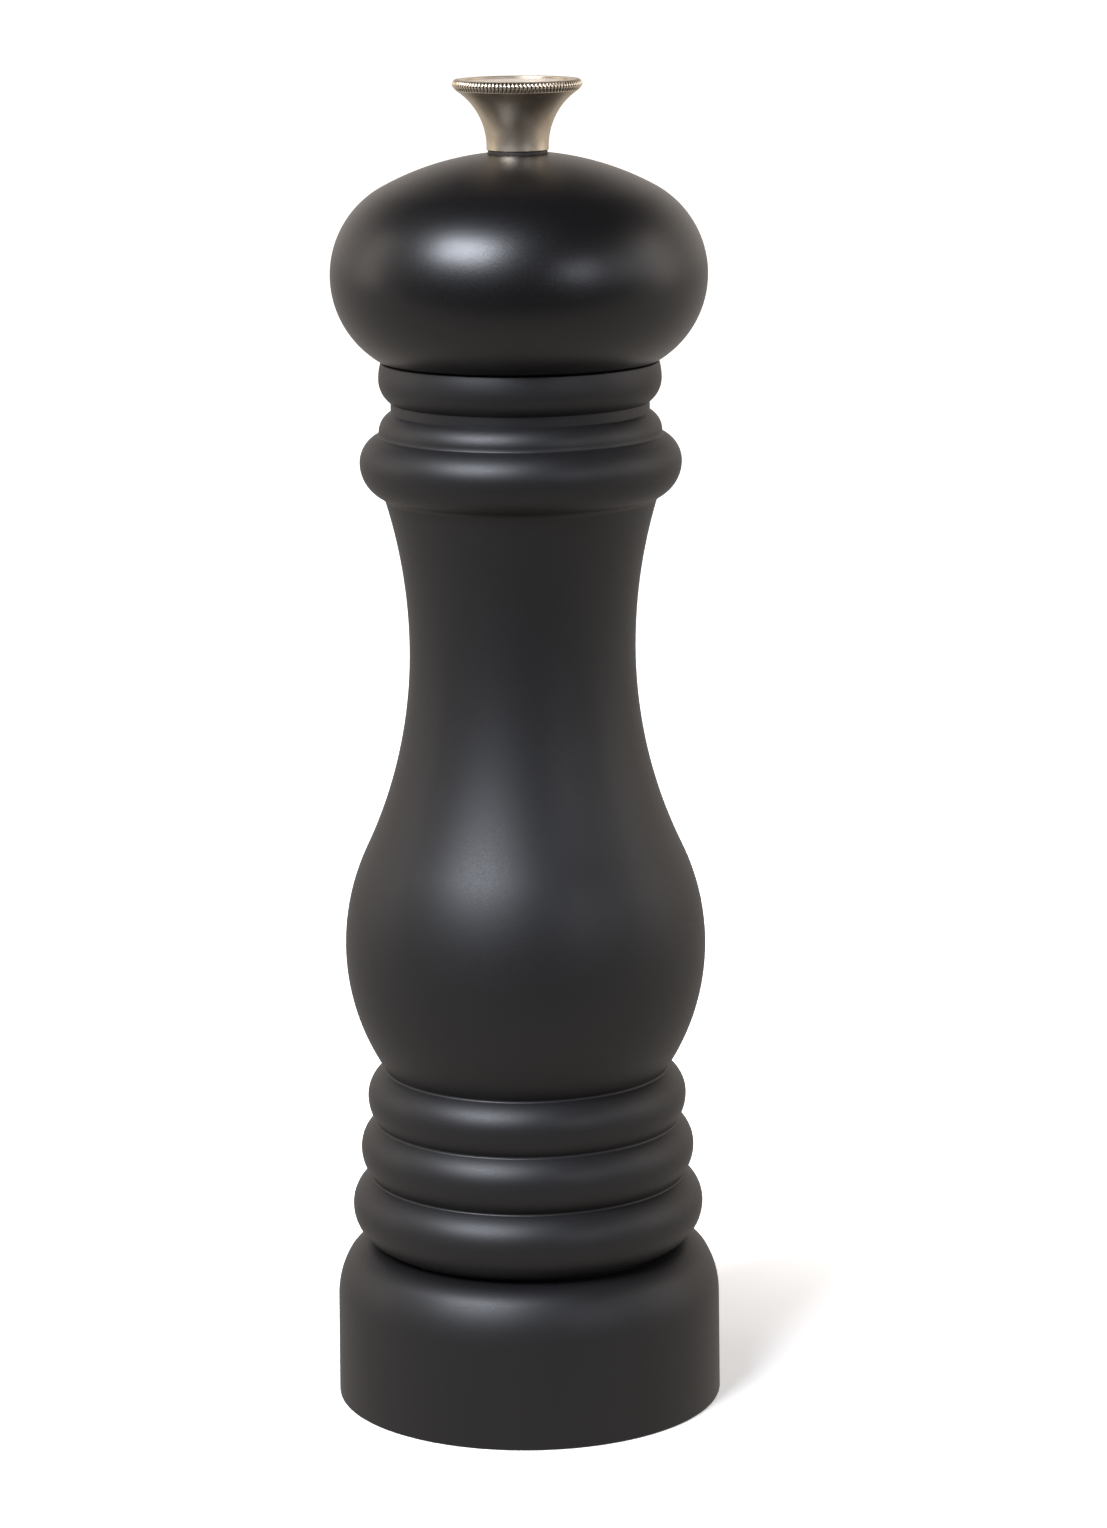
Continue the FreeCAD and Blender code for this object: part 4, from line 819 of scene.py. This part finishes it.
tail_foot, tail_top = (corner.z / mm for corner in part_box("rotor_washer"))
tail_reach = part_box("rotor_washer")[1].x / mm
tail_hole = 2.05
rotor_washer = turn_ring("rotor_washer_stamped", tail_hole, tail_reach, tail_foot, tail_top)
round_rings(rotor_washer, [(tail_reach, tail_foot)], 0.1)
finish_piece(rotor_washer, "shaft", "zinc_plated_steel", zinc_plated_steel, "rotor_washer")

nut_foot, nut_top = (corner.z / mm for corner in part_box("rotor_nut"))
bpy.ops.object.select_all(action="DESELECT")
nut_across_flats = 7
bpy.ops.mesh.primitive_cylinder_add(vertices=6, radius=nut_across_flats / math.sqrt(3) * mm,
                                    depth=(nut_top - nut_foot) * mm, location=(0, 0, 0))
rotor_nut = bpy.context.object
rotor_nut.name = "rotor_nut_cut"
bpy.ops.object.mode_set(mode="EDIT")
bpy.ops.mesh.select_all(action="SELECT")
bpy.ops.transform.translate(value=(0, 0, (nut_top + nut_foot) / 2 * mm))
bpy.ops.mesh.bevel(offset=0.2 * mm, segments=2)
bpy.ops.object.mode_set(mode="OBJECT")
take_away(rotor_nut, turn_disc("nut_bore", tail_hole, nut_foot - 1, nut_top + 1, segments=64))
finish_piece(rotor_nut, "shaft", "zinc_plated_steel", zinc_plated_steel, "rotor_nut")


# ---- Grinder housing ---------------------------------------------------------------------
# Black nylon: a flange screwed up under the body, a skirt round the burr ring, a funnel over
# it, and three arms with the hub that guides the shaft.

housing_foot, housing_top = (corner.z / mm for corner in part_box("grinder_housing"))
flange_foot = recess[1] - 3.0
tube_radius = 19.18
skirt_bore = 15.68
hub_bore = 7.0
hub_foot = housing_top - 6.1
flange_radius = 25.7
housing_screw = {"circle": 22.59, "radius": 1.5, "head_radius": 2.6, "head_height": 1.6}
housing_tube = turn_on_lathe("housing_tube", [
    (skirt_bore, housing_foot),
    (tube_radius, housing_foot),
    (tube_radius, flange_foot),
    (flange_radius, flange_foot),
    (flange_radius, recess[1]),
    (tube_radius, recess[1]),
    (tube_radius, housing_top),
    (tube_radius - 1.8, housing_top),
    (tube_radius - 1.8, recess[1] + 14),
    (13.8, recess[1] + 1),
    (skirt_bore, recess[1] + 1)])
take_away(housing_tube, sink_cutter(flange_foot, **housing_screw, depth=4))
round_rings(housing_tube, [(flange_radius, flange_foot), (tube_radius, housing_foot)], 0.3)
arm_start = hub_bore + 1
arm_end = tube_radius - 0.9
arm_width = 4
arm_height = 5
housing_arm = add_bar("housing_arm", (arm_end - arm_start, arm_width, arm_height),
                      (-(arm_start + arm_end) / 2, 0, housing_top - arm_height / 2))
repeat_round(housing_arm, 3)
housing_hub = turn_ring("housing_hub", hub_bore, hub_bore + 2, hub_foot, housing_top)
housing = join_pieces("grinder_housing_moulded", housing_tube, housing_arm, housing_hub)
finish_piece(housing, "mill_body", "black_nylon", black_nylon, "grinder_housing")
housing_screws = screw_circle("housing_screws_turned", flange_foot, **housing_screw, length=9.0)
finish_piece(housing_screws, "mill_body", "zinc_plated_steel", zinc_plated_steel, "housing_screws")

# The acetal sleeve pressed in the hub.
bearing_sleeve = turn_ring("bearing_sleeve_turned", 5.96, hub_bore, hub_foot, housing_top)
finish_piece(bearing_sleeve, "mill_body", "white_acetal", white_acetal, "bearing_sleeve")


# ---- Burr clamp and burrs ----------------------------------------------------------------
# A stainless ring with three screws holds the ceramic burr ring up in the skirt. The burrs
# keep their modelled teeth and get the look of sintered ceramic.

clamp_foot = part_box("burr_clamp")[0].z / mm
clamp_bore = 14.4
clamp_collar = skirt_bore - 0.2
clamp_screw = {"circle": 17.43, "radius": 1.1, "head_radius": 2.1, "head_height": 1.2}
burr_clamp = turn_on_lathe("burr_clamp_turned", [
    (clamp_bore, clamp_foot),
    (tube_radius, clamp_foot),
    (tube_radius, clamp_foot + 1.5),
    (clamp_collar, clamp_foot + 1.5),
    (clamp_collar, clamp_foot + 3),
    (clamp_bore, clamp_foot + 3)])
take_away(burr_clamp, sink_cutter(clamp_foot, **clamp_screw, depth=2))
round_rings(burr_clamp, [(tube_radius, clamp_foot), (clamp_bore, clamp_foot)], 0.2)
finish_piece(burr_clamp, "mill_body", "stainless_steel", stainless_steel, "burr_clamp")
clamp_screws = screw_circle("clamp_screws_turned", clamp_foot, **clamp_screw, length=7.2)
finish_piece(clamp_screws, "mill_body", "zinc_plated_steel", zinc_plated_steel, "clamp_screws")

ceramic = smooth_plastic("sintered_ceramic", "#dcd9cf", "#e8e5dc", 0.45, 0.6, cell=0.15, depth=0.03)
for node in ("stator", "rotor"):
    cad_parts[node].data.materials.clear()
    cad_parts[node].data.materials.append(ceramic)


# ---- Bush, clip and spring seat ----------------------------------------------------------
# A white acetal bush with a square hole turns in the hub and lets the shaft slide. A clip
# holds it above, and a washer under it takes the spring.

bush_foot, bush_top = (corner.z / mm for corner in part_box("shaft_bush"))
clip_foot, clip_top = (corner.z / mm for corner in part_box("bush_clip"))
bush_radius = 5.9
groove_radius = bush_radius - 0.7
flange_reach = bush_radius + 1.7
shaft_bush = turn_on_lathe("shaft_bush_turned", [
    (0, bush_foot),
    (flange_reach, bush_foot),
    (flange_reach, bush_foot + 1.5),
    (bush_radius, bush_foot + 1.5),
    (bush_radius, clip_foot),
    (groove_radius, clip_foot),
    (groove_radius, clip_top),
    (bush_radius, clip_top),
    (bush_radius, bush_top),
    (0, bush_top)], segments=96, closed=False)
take_away(shaft_bush, add_bar("bore", (square_bore, square_bore, 40), (0, 0, bush_top)))
finish_piece(shaft_bush, "shaft_bush", "white_acetal", white_acetal, "shaft_bush")

spring_steel = turned_metal("spring_steel", "#75777b", "#8b8d91", 0.24, 0.36)
bush_clip = turn_ring("bush_clip_stamped", groove_radius, bush_radius + 1.3, clip_foot, clip_top)
take_away(bush_clip, add_bar("mouth", (10, 3.4, 4), (5, 0, clip_foot)))
finish_piece(bush_clip, "shaft_bush", "spring_steel", spring_steel, "bush_clip")

seat_foot, seat_top = (corner.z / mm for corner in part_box("spring_seat"))
spring_seat = turn_ring("spring_seat_stamped", 4.44, 6.54, seat_foot, seat_top)
finish_piece(spring_seat, "shaft_bush", "zinc_plated_steel", zinc_plated_steel, "spring_seat")


# ---- Grinder spring ----------------------------------------------------------------------
# Five turns of round spring wire between the bush and the rotor's carrier. On the mill its foot
# moves with the shaft, so it shortens as the shaft comes up; here it is wound at one length.

spring_low, spring_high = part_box("grinder_spring")
spring_turns = 5
wire = 0.9
wire_sides = 16
coil_radius = spring_high.x / mm - wire / 2
bpy.ops.object.select_all(action="DESELECT")
bpy.ops.mesh.primitive_circle_add(vertices=wire_sides, radius=wire / 2 * mm, location=(0, 0, 0))
grinder_spring = bpy.context.object
grinder_spring.name = "grinder_spring_wound"
grinder_spring.data.name = "grinder_spring_wound"
bpy.ops.object.mode_set(mode="EDIT")
bpy.ops.mesh.select_all(action="SELECT")
bpy.ops.transform.rotate(value=math.pi / 2, orient_axis="X", center_override=(0, 0, 0))
bpy.ops.transform.translate(value=(coil_radius * mm, 0, spring_low.z + wire / 2 * mm))
bpy.ops.object.mode_set(mode="OBJECT")
spring_pitch = (spring_high.z - spring_low.z - wire * mm) / spring_turns
wind_up(grinder_spring, spring_pitch, spring_turns, wire_sides)
bpy.ops.object.shade_smooth_by_angle(angle=crease)
grinder_spring.data.materials.append(spring_steel)
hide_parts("grinder_spring")
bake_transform(grinder_spring)
